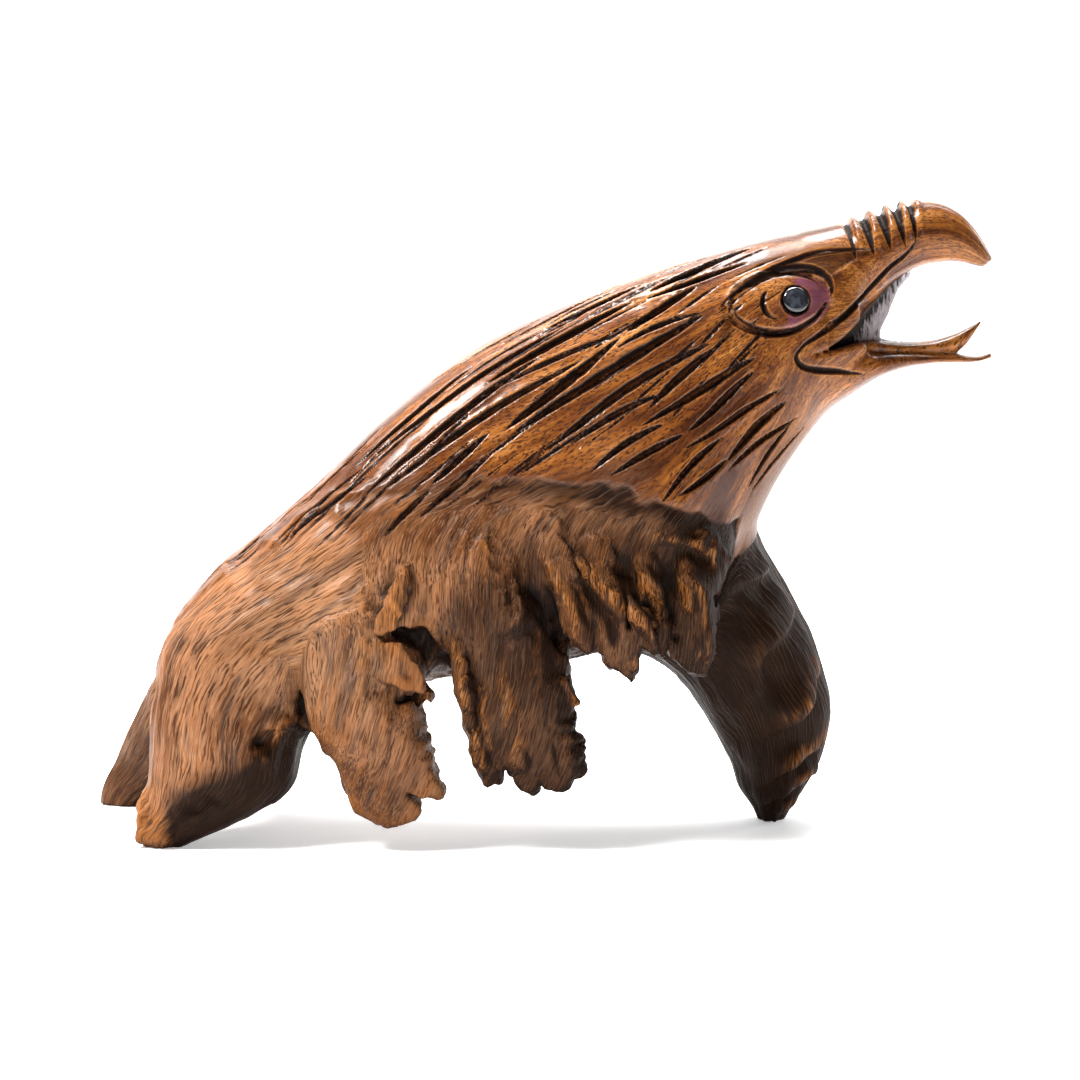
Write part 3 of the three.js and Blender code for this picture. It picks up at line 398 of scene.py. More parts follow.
# Hollows of the raw wood, in the same way.
HOLLOWS = [
    # Round the broken stub.
    ((-51, -48, 77.2), (-41, -44, 74), (1.2, 3.4), 1.2), ((-41, -46, 74), (-34, -38, 62), (3.4, 4.4), 1.5),
    ((-55, -50, 57.6), (-50, -44, 55.4), (1.6, 2.0), 0.8),
    ((-49, -50, 53.4), (-42, -42, 53), (1.8, 2.6), 0.8),
    ((-42, -46, 50), (-37.4, -40, 49), (1.6, 2.0), 0.8),
    ((-50, -57.2, 67), (-45, -57.2, 63), (2.6, 3.0), 1.5),
    # Under the ledge, in the toe and between the rear foot and the back root.
    ((-98, -47, 38), (-82, -43, 40.5), (2.2, 3.2), 1.5), ((-135, -45, 9), (-124, -49, 13), (1.8, 3.0), 1.5),
    ((-124, -49, 13), (-106, -50, 20), (3.0, 2.4), 2.5),
    ((-83, -44, 70), (-81.8, -41, 44), (0.6, 2.2), 2.5),
    # Left of the fingers and between the last finger and the chest lobe.
    ((-1, -48, 92), (7, -42, 73), (3.0, 4.6), 1.5), ((26, -53, 106), (34.5, -53, 94), (1.6, 3.0), 2),
    ((34.5, -53, 94), (39, -52, 86), (3.0, 3.6), 1.5), ((39, -52, 86), (44.6, -50, 68), (3.6, 2.8), 1.5),
    ((59, -41, 86.6), (61, -26, 87), (2.6, 1.8), 1), ((20, -52, 80), (21, -50, 68), (0.8, 2.2), 1.5),
    ((-17, -52, 40), (-14.5, -50, 24), (0.8, 2.6), 1),
    ((5, -52, 40), (8, -50, 26), (0.6, 1.6), 1), ((-47, -51, 24), (-42, -47, 17), (0.8, 2.0), 1),
    # Between the fingers.
    ((14, -51, 100), (19.6, -50, 72), (1.2, 2.0), 2), ((27, -52, 100), (31, -51, 80), (0.8, 1.8), 2),
    # Hollows and pits on the far side.
    ((-72, 52, 84), (-62, 46, 64), (2.4, 4.0), 1.5), ((-26, 52, 90), (-30, 44, 72), (2.0, 4.0), 1.5),
    ((18, 50, 98), (24, 44, 76), (2.4, 4.0), 1.5), ((-112, 50, 66), (-96, 48, 54), (1.6, 3.0), 1.5),
    ((-2, 54, 72), (2, 50, 52), (1.0, 2.4), 1),
]
# Where each limb's grain is carried over from the trunk: a share of its length and an angle. A root's is
# on its outer face, at ROOT_START.
ROOT_START = 0.14
GROWS_FROM = {"upper_beak": (0.1, 0.0), "lower_jaw": (0.1, math.pi), "tongue": (0.1, 0.0)}
# How softly each limb joins the rest, in millimetres, and how softly the others do.
OTHER_SOFTEN = 7.0
SOFTEN = {
    "trunk": 0.5, "upper_beak": 5.0, "lower_jaw": 4.0, "tongue": 1.5, "front_leg": 9.0,
    "near_rear_foot": 9.0, "far_rear_foot": 8.0, "near_back": 12.0,
}
# The block of cells, by its two corners, and how far from the skin the distance is kept.
BLOCK = ((-172.0, -60.0, -10.0), (168.0, 62.0, 230.0))
BAND = 9.1
# How far the far roots' ends are eaten back, how far the roots' edges are torn, and a gouge's half width.
RAGGED = 3.2
JAGGED = 1.6
GOUGE_HALF_WIDTH = 1.5
# Steps along and around the shell of the trunk and of any other limb.
TRUNK_STEPS = (200, 180)
LIMB_STEPS = (130, 110)
# A y beyond either side of the carving, how softly the mouth is cut, and how far the broken edges are
# pushed about and how softly they run in.
BESIDE = 60
MOUTH_SOFTEN = 1.5
BROKEN_EDGE = {"gnarl": 0.7, "soften": 1.2}
STUB_EDGE = {"gnarl": 0.8, "soften": 2.0}
# Fine cuts between the gouges: how many, where along and around the trunk they lie, and their size.
FINE_CUTS = {"count": 72, "along": (0.2, 0.76), "around": (6, 84), "size": (0.28, 0.5)}
# The camera's view: how wide it is at the aim's distance, how far and how high the camera stands.
SENSOR = 36.0
VIEW_WIDTH = 0.38556
VIEW_DISTANCE = 1.2
VIEW_ELEVATION = 7.0
VIEW_AIM_Z = 102.7
# The studio: each lamp's name, place, aim, size, power and colour, then the floor and the air.
LAMPS = [
    ("key", (-0.88, -0.26, 1.25), (0.0, 0.0, 0.1), (0.4, 0.4), 40.0, (1.0, 0.98, 0.95)),
    ("overhead", (-0.05, 0.36, 1.25), (0.0, 0.0, 0.12), (0.7, 0.4), 38.0, (1.0, 1.0, 1.0)),
    ("rim", (1.1, 0.6, 0.45), (0.05, 0.0, 0.1), (0.4, 0.6), 8.0, (1.0, 1.0, 1.0)),
    ("backdrop", (0.0, 1.6, 2.6), (0.0, 3.2, 0.4), (4.0, 1.0), 210.0, (1.0, 1.0, 1.0)),
]
FLOOR_COLOUR = (0.93, 0.93, 0.93)
FLOOR_GLOW = 0.36
AIR_STRENGTH = 0.1


def smooth(value, low, high):
    """From 0 at low to 1 at high, with a level start and end: t*t*(3 - 2t)."""
    t = np.clip((value - low) / (high - low), 0, 1)
    return t * t * (3 - 2 * t)


def row_at(rows, v):
    """The row of numbers at share v of the way through rows, on a Catmull-Rom curve through them."""
    rows = np.asarray(rows, float)
    place = np.clip(v, 0, 1) * (len(rows) - 1)
    i = np.minimum(np.asarray(place).astype(int), len(rows) - 2)
    t = (place - i)[..., None]
    a, b, c, d = (rows[np.clip(i + k, 0, len(rows) - 1)] for k in (-1, 0, 1, 2))
    return b + 0.5 * t * (c - a + t * (2 * a - 5 * b + 4 * c - d + t * (3 * (b - c) + d - a)))


def squared(wave, power):
    """cos or sin of an angle drawn out towards a squarer section: its sign times |wave|^(2/power)."""
    return np.sign(wave) * np.abs(wave) ** (2 / power)


def noise(points, seed=0):
    """Smooth noise from -1 to 1: a mixed-up whole number at each corner of a lattice of unit cubes,
    joined across each cube by the weights 3t^2 - 2t^3."""
    cell = np.floor(points).astype(np.int64)
    t = points - cell
    w = t * t * (3 - 2 * t)
    total = 0
    for corner in np.ndindex(2, 2, 2):
        x, y, z = np.moveaxis(cell + np.array(corner), -1, 0)
        mixed = (x * 73856093) ^ (y * 19349663) ^ (z * 83492791) ^ (seed * 40503 % 65536 * 9973)
        mixed = ((mixed ^ (mixed >> 13)) * 1274126177) & 0xFFFFFFFF
        mixed = (mixed ^ (mixed >> 16)) & 0xFFFF
        weight = np.prod(np.where(corner, w, 1 - w), axis=-1)
        total = total + weight * (mixed / 32767.5 - 1)
    return total


def wobble(x, y, z, seed):
    """A cheap wave from -1 to 1 that bends about: a sine of x and one of z, each pushed by other sines."""
    first = np.sin(0.71 * x + 1.9 * np.sin(0.53 * y + seed) + 1.3 * seed)
    return 0.5 * (first + np.sin(0.83 * z + 2.1 * np.sin(0.47 * x + 1.7 * seed) + 0.6 * y))


def curve(points, count):
    """count points spread evenly along a smooth curve through the given ones."""
    fine = row_at(points, np.linspace(0, 1, 20 * count))
    length = np.concatenate([[0], np.cumsum(np.linalg.norm(np.diff(fine, axis=0), axis=1))])
    wanted = np.linspace(0, length[-1], count)
    return np.stack([np.interp(wanted, length, column) for column in fine.T], -1)


class Limb:
    """A limb through ribs. point(v, angle) is on its skin: v runs along it from 0 to 1, and angle is 0 at
    the first edge of the ribs and negative on the near side. The section is a superellipse."""

    MAP_STEP = 1.5
    LOOKS = 96

    def __init__(self, rows, power=2.2, notches=(), swells=(), ripple=None, ragged=0.0, jagged=0.0, seed=0):
        self.rows = np.array(rows, float)
        self.power, self.notches, self.swells, self.ripple = power, notches, swells, ripple
        self.ragged, self.jagged, self.seed = ragged, jagged, seed
        v = np.linspace(0, 1, 200)
        centres = self.middle(v)
        steps = np.linalg.norm(np.diff(centres, axis=0), axis=1)
        self.lengths = np.concatenate([[0], np.cumsum(steps)])
        self.length = self.lengths[-1]
        self.tip = self.middle(1.0) - self.middle(0.9)
        self.tip /= np.linalg.norm(self.tip)
        self.tail = self.middle(0.0) - self.middle(0.06)
        self.tail /= np.linalg.norm(self.tail)
        rows = row_at(self.rows, v)
        half_heights = np.hypot(rows[:, 0] - rows[:, 2], rows[:, 1] - rows[:, 3]) / 2
        self.girth = float(np.sqrt(half_heights * rows[:, 5]).mean())
        self.offset = np.zeros(3)
        self.turn = 1

    def middle(self, v):
        """The middle of the section at v."""
        ux, uz, lx, lz, y, _ = np.moveaxis(row_at(self.rows, np.asarray(v, float)), -1, 0)
        return np.stack([(ux + lx) / 2, y, (uz + lz) / 2], -1)

    def mound(self, v, angle):
        """How far the skin swells out: a bell curve round each swell."""
        along_spread, round_spread = 0.07, 26
        degrees = -np.degrees((angle + np.pi) % (2 * np.pi) - np.pi)
        rise = 0
        for place, around, height in self.swells:
            rise = rise + height * np.exp(
                -(((v - place) / along_spread) ** 2) - ((degrees - around) / round_spread) ** 2
            )
        return rise

    def fold(self, v, angle):
        """The share by which the folds rise: a sine along the limb, strongest on its two faces."""
        if not self.ripple:
            return 0
        amount, folds, start = self.ripple
        face = np.abs(np.sin(angle)) * (0.6 + 0.4 * np.cos(angle))
        rise = smooth(v, start, start + 0.15) * smooth(1 - v, 0.05, 0.2)
        return amount * rise * face * np.sin(2 * np.pi * folds * (v - 0.1 * np.cos(angle)))

    def bite(self, across, v, angle):
        """How far back the broken end is eaten: its notches, and noise where it is ragged."""
        eaten = 0
        for place, depth, width in self.notches:
            eaten = eaten + depth * np.maximum(0, 1 - np.abs(across - place) / width)
        if self.ragged:
            ring = np.stack(np.broadcast_arrays(np.cos(angle), np.sin(angle), 0 * v), -1) * self.girth
            teeth = 0.5 + 0.5 * noise(ring / 6, self.seed) + 0.4 * noise(ring / 2.3, self.seed + 1)
            eaten = eaten + self.ragged * teeth
        return eaten

    def point(self, v, angle):
        """The skin at v and angle: the middle, plus the two half widths times the squared cos and sin."""
        v, angle = np.broadcast_arrays(np.asarray(v, float), np.asarray(angle, float))
        ux, uz, lx, lz, y, half = np.moveaxis(row_at(self.rows, v), -1, 0)
        swell = 1 + self.fold(v, angle) + self.mound(v, angle) / np.maximum(half, 1)
        if self.jagged:
            edge = np.clip(np.cos(angle), 0, 1) ** 3 * smooth(v, 0.35, 0.6)
            teeth = np.stack([v * self.length / 3.2, 0 * v, angle * 2], -1)
            swell = swell + self.jagged / np.maximum(half, 4) * edge * noise(teeth, self.seed + 2)
        across = squared(np.cos(angle), self.power) * swell
        through = squared(np.sin(angle), self.power) * swell
        skin = np.stack([(ux + lx) / 2 + (ux - lx) / 2 * across, y + half * through,
                         (uz + lz) / 2 + (uz - lz) / 2 * across], -1)
        back = self.bite(across, v, angle) * smooth(v, 0.72, 1)
        return skin - self.tip * np.asarray(back)[..., None]

    def shell(self, along, around):
        """The skin as a closed mesh: rings of points along it, and a fan at each end."""
        turn = 2 * np.pi * np.arange(around) / around
        v, angle = np.meshgrid(np.linspace(0, 1, along + 1), turn, indexing="ij")
        rings = self.point(v, angle).reshape(-1, 3)
        ends = np.stack([rings[:around].mean(0), rings[-around:].mean(0)])
        i, j = np.meshgrid(np.arange(along), np.arange(around), indexing="ij")
        k = (j + 1) % around
        quads = np.stack([i * around + j, i * around + k, (i + 1) * around + k, (i + 1) * around + j], -1)
        j, k = np.arange(around), (np.arange(around) + 1) % around
        last, start, end = along * around, len(rings), len(rings) + 1
        fans = [np.stack([k, j, 0 * j + start], -1), np.stack([last + j, last + k, 0 * j + end], -1)]
        return np.concatenate([rings, ends]), quads.reshape(-1, 4), np.concatenate(fans)

    def chart(self, low, high):
        """v on a grid over the side view: where the point lies on the line of a rib, and the nearest end
        where it lies on none. Of several, it is the rib whose middle is nearest."""
        v = np.linspace(0, 1, self.LOOKS)
        ux, uz, lx, lz = row_at(self.rows, v)[:, :4].T
        xs, zs = np.arange(low[0], high[0], self.MAP_STEP), np.arange(low[2], high[2], self.MAP_STEP)
        x, z = (a[..., None] for a in np.meshgrid(xs, zs, indexing="ij"))
        side = (x - ux) * (lz - uz) - (z - uz) * (lx - ux)
        crossed = side[..., :-1] * side[..., 1:] <= 0
        share = side[..., :-1] / np.where(crossed, side[..., :-1] - side[..., 1:] + 1e-12, 1)
        far = np.hypot(x - (ux + lx)[:-1] / 2, z - (uz + lz)[:-1] / 2)
        pick = np.argmin(np.where(crossed, far, np.inf), -1)
        found = np.take_along_axis(crossed, pick[..., None], -1)[..., 0]
        share = np.take_along_axis(share, pick[..., None], -1)[..., 0]
        ends = [np.hypot(x[..., 0] - (ux + lx)[k] / 2, z[..., 0] - (uz + lz)[k] / 2) for k in (0, -1)]
        ends = np.where(ends[0] < ends[1], 0.0, 1.0)
        self.chart_from = np.array([low[0], low[2]])
        self.chart_v = np.where(found, (pick + share) / (self.LOOKS - 1), ends)

    def place(self, points):
        """v, angle and distance from the skin in millimetres, roughly, of points anywhere, and how far each
        is short of the limb's start."""
        at = (points[:, [0, 2]] - self.chart_from) / self.MAP_STEP
        at = np.clip(at, 0, np.array(self.chart_v.shape) - 1.001)
        i, j = at.astype(int).T
        s, t = (at - np.stack([i, j], -1)).T
        m = self.chart_v
        low = m[i, j] * (1 - s) + m[i + 1, j] * s
        high = m[i, j + 1] * (1 - s) + m[i + 1, j + 1] * s
        v = low * (1 - t) + high * t
        ux, uz, lx, lz, y, half = row_at(self.rows, v).T
        rx, rz = (ux - lx) / 2, (uz - lz) / 2
        reach = np.maximum(np.hypot(rx, rz), 1)
        across = ((points[:, 0] - lx - rx) * rx + (points[:, 2] - lz - rz) * rz) / reach**2
        through = (points[:, 1] - y) / np.maximum(half, 1)
        angle = np.arctan2(squared(through, 4 / self.power), squared(across, 4 / self.power))
        radius = (np.abs(across) ** self.power + np.abs(through) ** self.power) ** (1 / self.power)
        away = (radius - 1) * np.minimum(reach, np.maximum(half, 1))
        before = (points - self.middle(0.0)) @ self.tail * (v < 0.01)
        beyond = (points - self.middle(1.0)) @ self.tip * (v > 0.99)
        return v, angle, np.maximum(away, np.maximum(before, beyond)), np.maximum(before, 0)

    def grain(self, v, angle, short=0.0):
        """The place in the wood's own grain: millimetres along the limb, and its girth times the cos and
        the sin of the angle."""
        along = np.interp(v, np.linspace(0, 1, len(self.lengths)), self.lengths) - short
        wave = np.stack([along, self.turn * self.girth * np.cos(angle), self.girth * np.sin(angle)], -1)
        return wave + self.offset

    def on_skin(self, x, z, side):
        """v and angle of the skin at (x, z) of the side view, on the side 1 or -1."""
        here = np.stack([x, 0 * x, z], -1)
        v, *_ = self.place(here)
        ux, uz, lx, lz = row_at(self.rows, v)[:, :4].T
        rx, rz = (ux - lx) / 2, (uz - lz) / 2
        across = ((x - lx - rx) * rx + (z - lz - rz) * rz) / (rx * rx + rz * rz)
        return v, side * np.arccos(squared(np.clip(across, -0.999, 0.999), 4 / self.power))


class Wood:
    """The distance to the carving's skin, below nought inside, on a block of cubic cells."""

    def __init__(self, low, high, cell, band):
        self.cell, self.band = cell, band
        self.first = np.floor(np.array(low) / cell).astype(int)
        self.values = np.full(np.ceil(np.array(high) / cell).astype(int) - self.first + 1, band, np.float32)

    def part(self, low, high):
        """The slices of the block round a box, and the place of their first cell."""
        start = np.clip(np.floor(np.array(low) / self.cell).astype(int) - self.first, 0, self.values.shape)
        end = np.ceil(np.array(high) / self.cell).astype(int) - self.first + 1
        stop = np.clip(end, 0, self.values.shape)
        return tuple(slice(a, b) for a, b in zip(start, stop)), start + self.first

    def cells(self, low, high):
        """The slices round a box, and x, y and z of their cells, ready to spread over each other."""
        slices, first = self.part(low, high)
        shape = self.values[slices].shape
        axes = (self.cell * (f + np.arange(n, dtype=np.float32)) for f, n in zip(first, shape))
        return slices, *np.meshgrid(*axes, indexing="ij", sparse=True)

    def join(self, slices, distance, soften):
        """Adds a form. Where the two distances are within soften, the smaller goes down by h*h*soften/4."""
        old = self.values[slices]
        h = np.maximum(1 - np.abs(old - distance) / soften, 0)
        self.values[slices] = np.minimum(old, distance) - h * h * soften / 4

    def cut(self, slices, distance, soften):
        """Takes a form away, with its edge softened in the same way."""
        old = self.values[slices]
        h = np.maximum(1 - np.abs(old + distance) / soften, 0)
        self.values[slices] = np.maximum(old, -distance) + h * h * soften / 4

    def join_shell(self, shell, soften):
        """Adds a closed mesh."""
        points, quads, fans = shell
        grid = openvdb.FloatGrid.createLevelSetFromPolygons(
            points.astype(np.float32), fans.astype(np.uint32), quads.astype(np.uint32),
            transform=openvdb.createLinearTransform(voxelSize=self.cell), halfWidth=self.band / self.cell,
        )
        slices, first = self.part(points.min(0) - self.band, points.max(0) + self.band)
        distance = np.empty(self.values[slices].shape, np.float32)
        grid.copyToArray(distance, ijk=tuple(int(f) for f in first))
        self.join(slices, distance, soften)

    def taper(self, start, end, radii, gnarl=0.0):
        """A gnarled tapered rod with round ends: the distance to its middle line less the radius there, at
        places pushed about by waves."""
        start, end = np.array(start, float), np.array(end, float)
        reach = max(radii) + self.band
        slices, x, y, z = self.cells(np.minimum(start, end) - reach, np.maximum(start, end) + reach)
        if gnarl:
            x, y, z = (axis + gnarl * wobble(x, y, z, k) for k, axis in enumerate((x, y, z)))
        run = end - start
        t = ((x - start[0]) * run[0] + (y - start[1]) * run[1] + (z - start[2]) * run[2]) / (run @ run)
        t = np.clip(t, 0, 1)
        gaps = (x - start[0] - t * run[0], y - start[1] - t * run[1], z - start[2] - t * run[2])
        distance = np.sqrt(sum(gap * gap for gap in gaps)) - (radii[0] + t * (radii[1] - radii[0]))
        return slices, distance.astype(np.float32)

    def slab(self, outline, near, far, gnarl=0.0):
        """What is inside an outline of the side view, from y = near to y = far, at places pushed about."""
        outline = np.array(outline, float)
        low, high = outline.min(0) - self.band, outline.max(0) + self.band
        corner = (low[0], near - self.band, low[1])
        slices, x, y, z = self.cells(corner, (high[0], far + self.band, high[1]))
        if gnarl:
            x, z = x + gnarl * wobble(x, y, z, 5), z + gnarl * wobble(x, y, z, 6)
        edge, inside = np.inf, np.zeros(np.broadcast_shapes(x.shape, z.shape), bool)
        for a, b in zip(outline, np.roll(outline, -1, 0)):
            run = b - a
            t = np.clip(((x - a[0]) * run[0] + (z - a[1]) * run[1]) / (run @ run), 0, 1)
            edge = np.minimum(edge, np.hypot(x - a[0] - t * run[0], z - a[1] - t * run[1]))
            rising = (a[1] <= z) != (b[1] <= z)
            inside ^= rising & (x < a[0] + (z - a[1]) / (run[1] or 1) * run[0])
        distance = np.where(inside, -edge, edge)
        return slices, np.maximum(np.maximum(distance, near - y), y - far).astype(np.float32)

    def skin(self):
        """The surface where the distance is nought, as points and four-sided faces."""
        grid = openvdb.FloatGrid(self.band)
        grid.transform = openvdb.createLinearTransform(voxelSize=self.cell)
        grid.copyFromArray(self.values, ijk=tuple(int(f) for f in self.first))
        points, _, quads = grid.convertToPolygons(isovalue=0.0, adaptivity=0.0)
        return points.astype(float), quads.astype(np.int64)

    def crowding(self, reach):
        """How full of wood the space within reach of each cell is, from 0 to 1, on every second cell."""
        a, b, c = (n // 2 * 2 for n in self.values.shape)
        full = np.clip(0.5 - self.values[:a, :b, :c] / (2 * self.cell), 0, 1)
        full = full.reshape(a // 2, 2, b // 2, 2, c // 2, 2).mean((1, 3, 5))
        span = max(1, round(reach / (2 * self.cell)))
        for axis in (0, 1, 2) * 2:
            padding = [(span + 1, span) if k == axis else (0, 0) for k in range(3)]
            total = np.cumsum(np.pad(full, padding, mode="edge"), axis, dtype=np.float64)
            size = full.shape[axis]
            upper = np.take(total, np.arange(size) + 2 * span + 1, axis)
            full = ((upper - np.take(total, np.arange(size), axis)) / (2 * span + 1)).astype(np.float32)
        return full

    def sample(self, field, points, every=2):
        """The field's value at points, straight between its cells."""
        at = (points / self.cell - self.first - (every - 1) / 2) / every
        at = np.clip(at, 0, np.array(field.shape) - 1.001)
        low = at.astype(int)
        t = at - low
        total = 0
        for corner in np.ndindex(2, 2, 2):
            weight = np.prod(np.where(corner, t, 1 - t), axis=-1)
            total = total + weight * field[tuple((low + np.array(corner)).T)]
        return total


GNARL = 0.13
HEAD_LIMBS = ("trunk", "upper_beak", "lower_jaw", "tongue")


def make_limbs():
    """All limbs by name, with the grain of each carried over from the trunk where it grows out."""
    limbs = {
        "trunk": Limb(TRUNK_RIBS, power=2.15, swells=TRUNK_SWELLS),
        "upper_beak": Limb(UPPER_BEAK_RIBS, power=2.1),
        "lower_jaw": Limb(LOWER_JAW_RIBS),
        "tongue": Limb(TONGUE_RIBS, power=2),
        "front_leg": Limb(FRONT_LEG_RIBS, power=2, ripple=(0.09, 5, 0.27), seed=3),
        "near_rear_foot": Limb(NEAR_REAR_FOOT_RIBS, power=2, seed=5),
        "far_rear_foot": Limb(FAR_REAR_FOOT_RIBS, power=2, seed=7),
    }
    for side, roots in (("near", NEAR_ROOTS), ("far", FAR_ROOTS)):
        for i, (name, (ribs, notches)) in enumerate(roots.items()):
            ragged = RAGGED if side == "far" else 0
            seed = 11 + 4 * i
            limbs[f"{side}_{name}"] = Limb(ribs, notches=notches, ragged=ragged, jagged=JAGGED, seed=seed)
    low, high = BLOCK
    for limb in limbs.values():
        limb.chart(low, high)
    trunk = limbs["trunk"]
    for name, limb in limbs.items():
        if limb is trunk:
            continue
        limb.turn = -1 if name.startswith(("near_", "far_")) and "foot" not in name else 1
        outer = math.pi / 2 if name.startswith("far") else -math.pi / 2
        v, angle = GROWS_FROM.get(name, (ROOT_START, outer))
        start = limb.point(v, angle)[None]
        tv, ta, *_ = trunk.place(start)
        limb.offset = (trunk.grain(tv, ta) - limb.grain(np.array([v]), np.array([angle])))[0]
    return limbs


def make_wood(limbs, cell):
    """The carving's solid form: the limbs run together, then the mouth, the hollows and the floor cut."""
    low, high = BLOCK
    wood = Wood(low, high, cell, BAND)
    for name, limb in limbs.items():
        along, around = TRUNK_STEPS if name == "trunk" else LIMB_STEPS
        soften = SOFTEN.get(name, OTHER_SOFTEN)
        wood.join_shell(limb.shell(along, around), soften)
    for start, end, radii, soften in GROWTHS:
        wood.join(*wood.taper(start, end, radii, GNARL * sum(radii)), soften)
    wood.join(*wood.slab(MOUTH_WEB, -MOUTH_WEB_HALF, MOUTH_WEB_HALF), MOUTH_SOFTEN)
    for near, far in ((-BESIDE, -MOUTH_CORE), (MOUTH_CORE, BESIDE)):
        wood.cut(*wood.slab(MOUTH_OUTLINE, near, far), MOUTH_SOFTEN)
    for far, outline in BROKEN_ENDS:
        wood.cut(*wood.slab(outline, -BESIDE, far, BROKEN_EDGE["gnarl"]), BROKEN_EDGE["soften"])
    for (near, far), outline in (STUB, FLAKE):
        wood.join(*wood.slab(outline, near, far, STUB_EDGE["gnarl"]), STUB_EDGE["soften"])
    for start, end, radii, soften in HOLLOWS:
        wood.cut(*wood.taper(start, end, radii, GNARL * sum(radii)), soften)
    _, _, _, z = wood.cells(low, high)
    wood.values[:] = np.maximum(wood.values, -z)
    return wood


def normals_of(points, faces):
    """The unit normal at each point: the sum of the crosses of its faces' diagonals or sides."""
    a, b, c = (points[faces[:, k]] for k in (0, 1, 2))
    across = np.cross(b - a, c - a) if faces.shape[1] == 3 else np.cross(c - a, points[faces[:, 3]] - b)
    total = np.stack([np.bincount(faces.ravel(), np.repeat(across[:, k], faces.shape[1]), len(points))
                      for k in range(3)], -1)
    return total / np.maximum(np.linalg.norm(total, axis=1), 1e-12)[:, None]


def near_path(points, path, reach):
    """The points within reach of a path's box: their rows, their offset from the path's nearest place,
    and that place as a share of the path."""
    rows = np.flatnonzero(((points > path.min(0) - reach) & (points < path.max(0) + reach)).all(1))
    here = points[rows]
    best = np.full(len(rows), np.inf)
    share, gap = np.zeros(len(rows)), np.zeros((len(rows), 3))
    for k, (a, b) in enumerate(zip(path[:-1], path[1:])):
        run = b - a
        t = np.clip((here - a) @ run / (run @ run), 0, 1)
        off = here - a - t[:, None] * run
        far = (off * off).sum(1)
        closer = far < best
        best[closer], gap[closer] = far[closer], off[closer]
        share[closer] = (k + t[closer]) / (len(path) - 1)
    return rows, gap, share


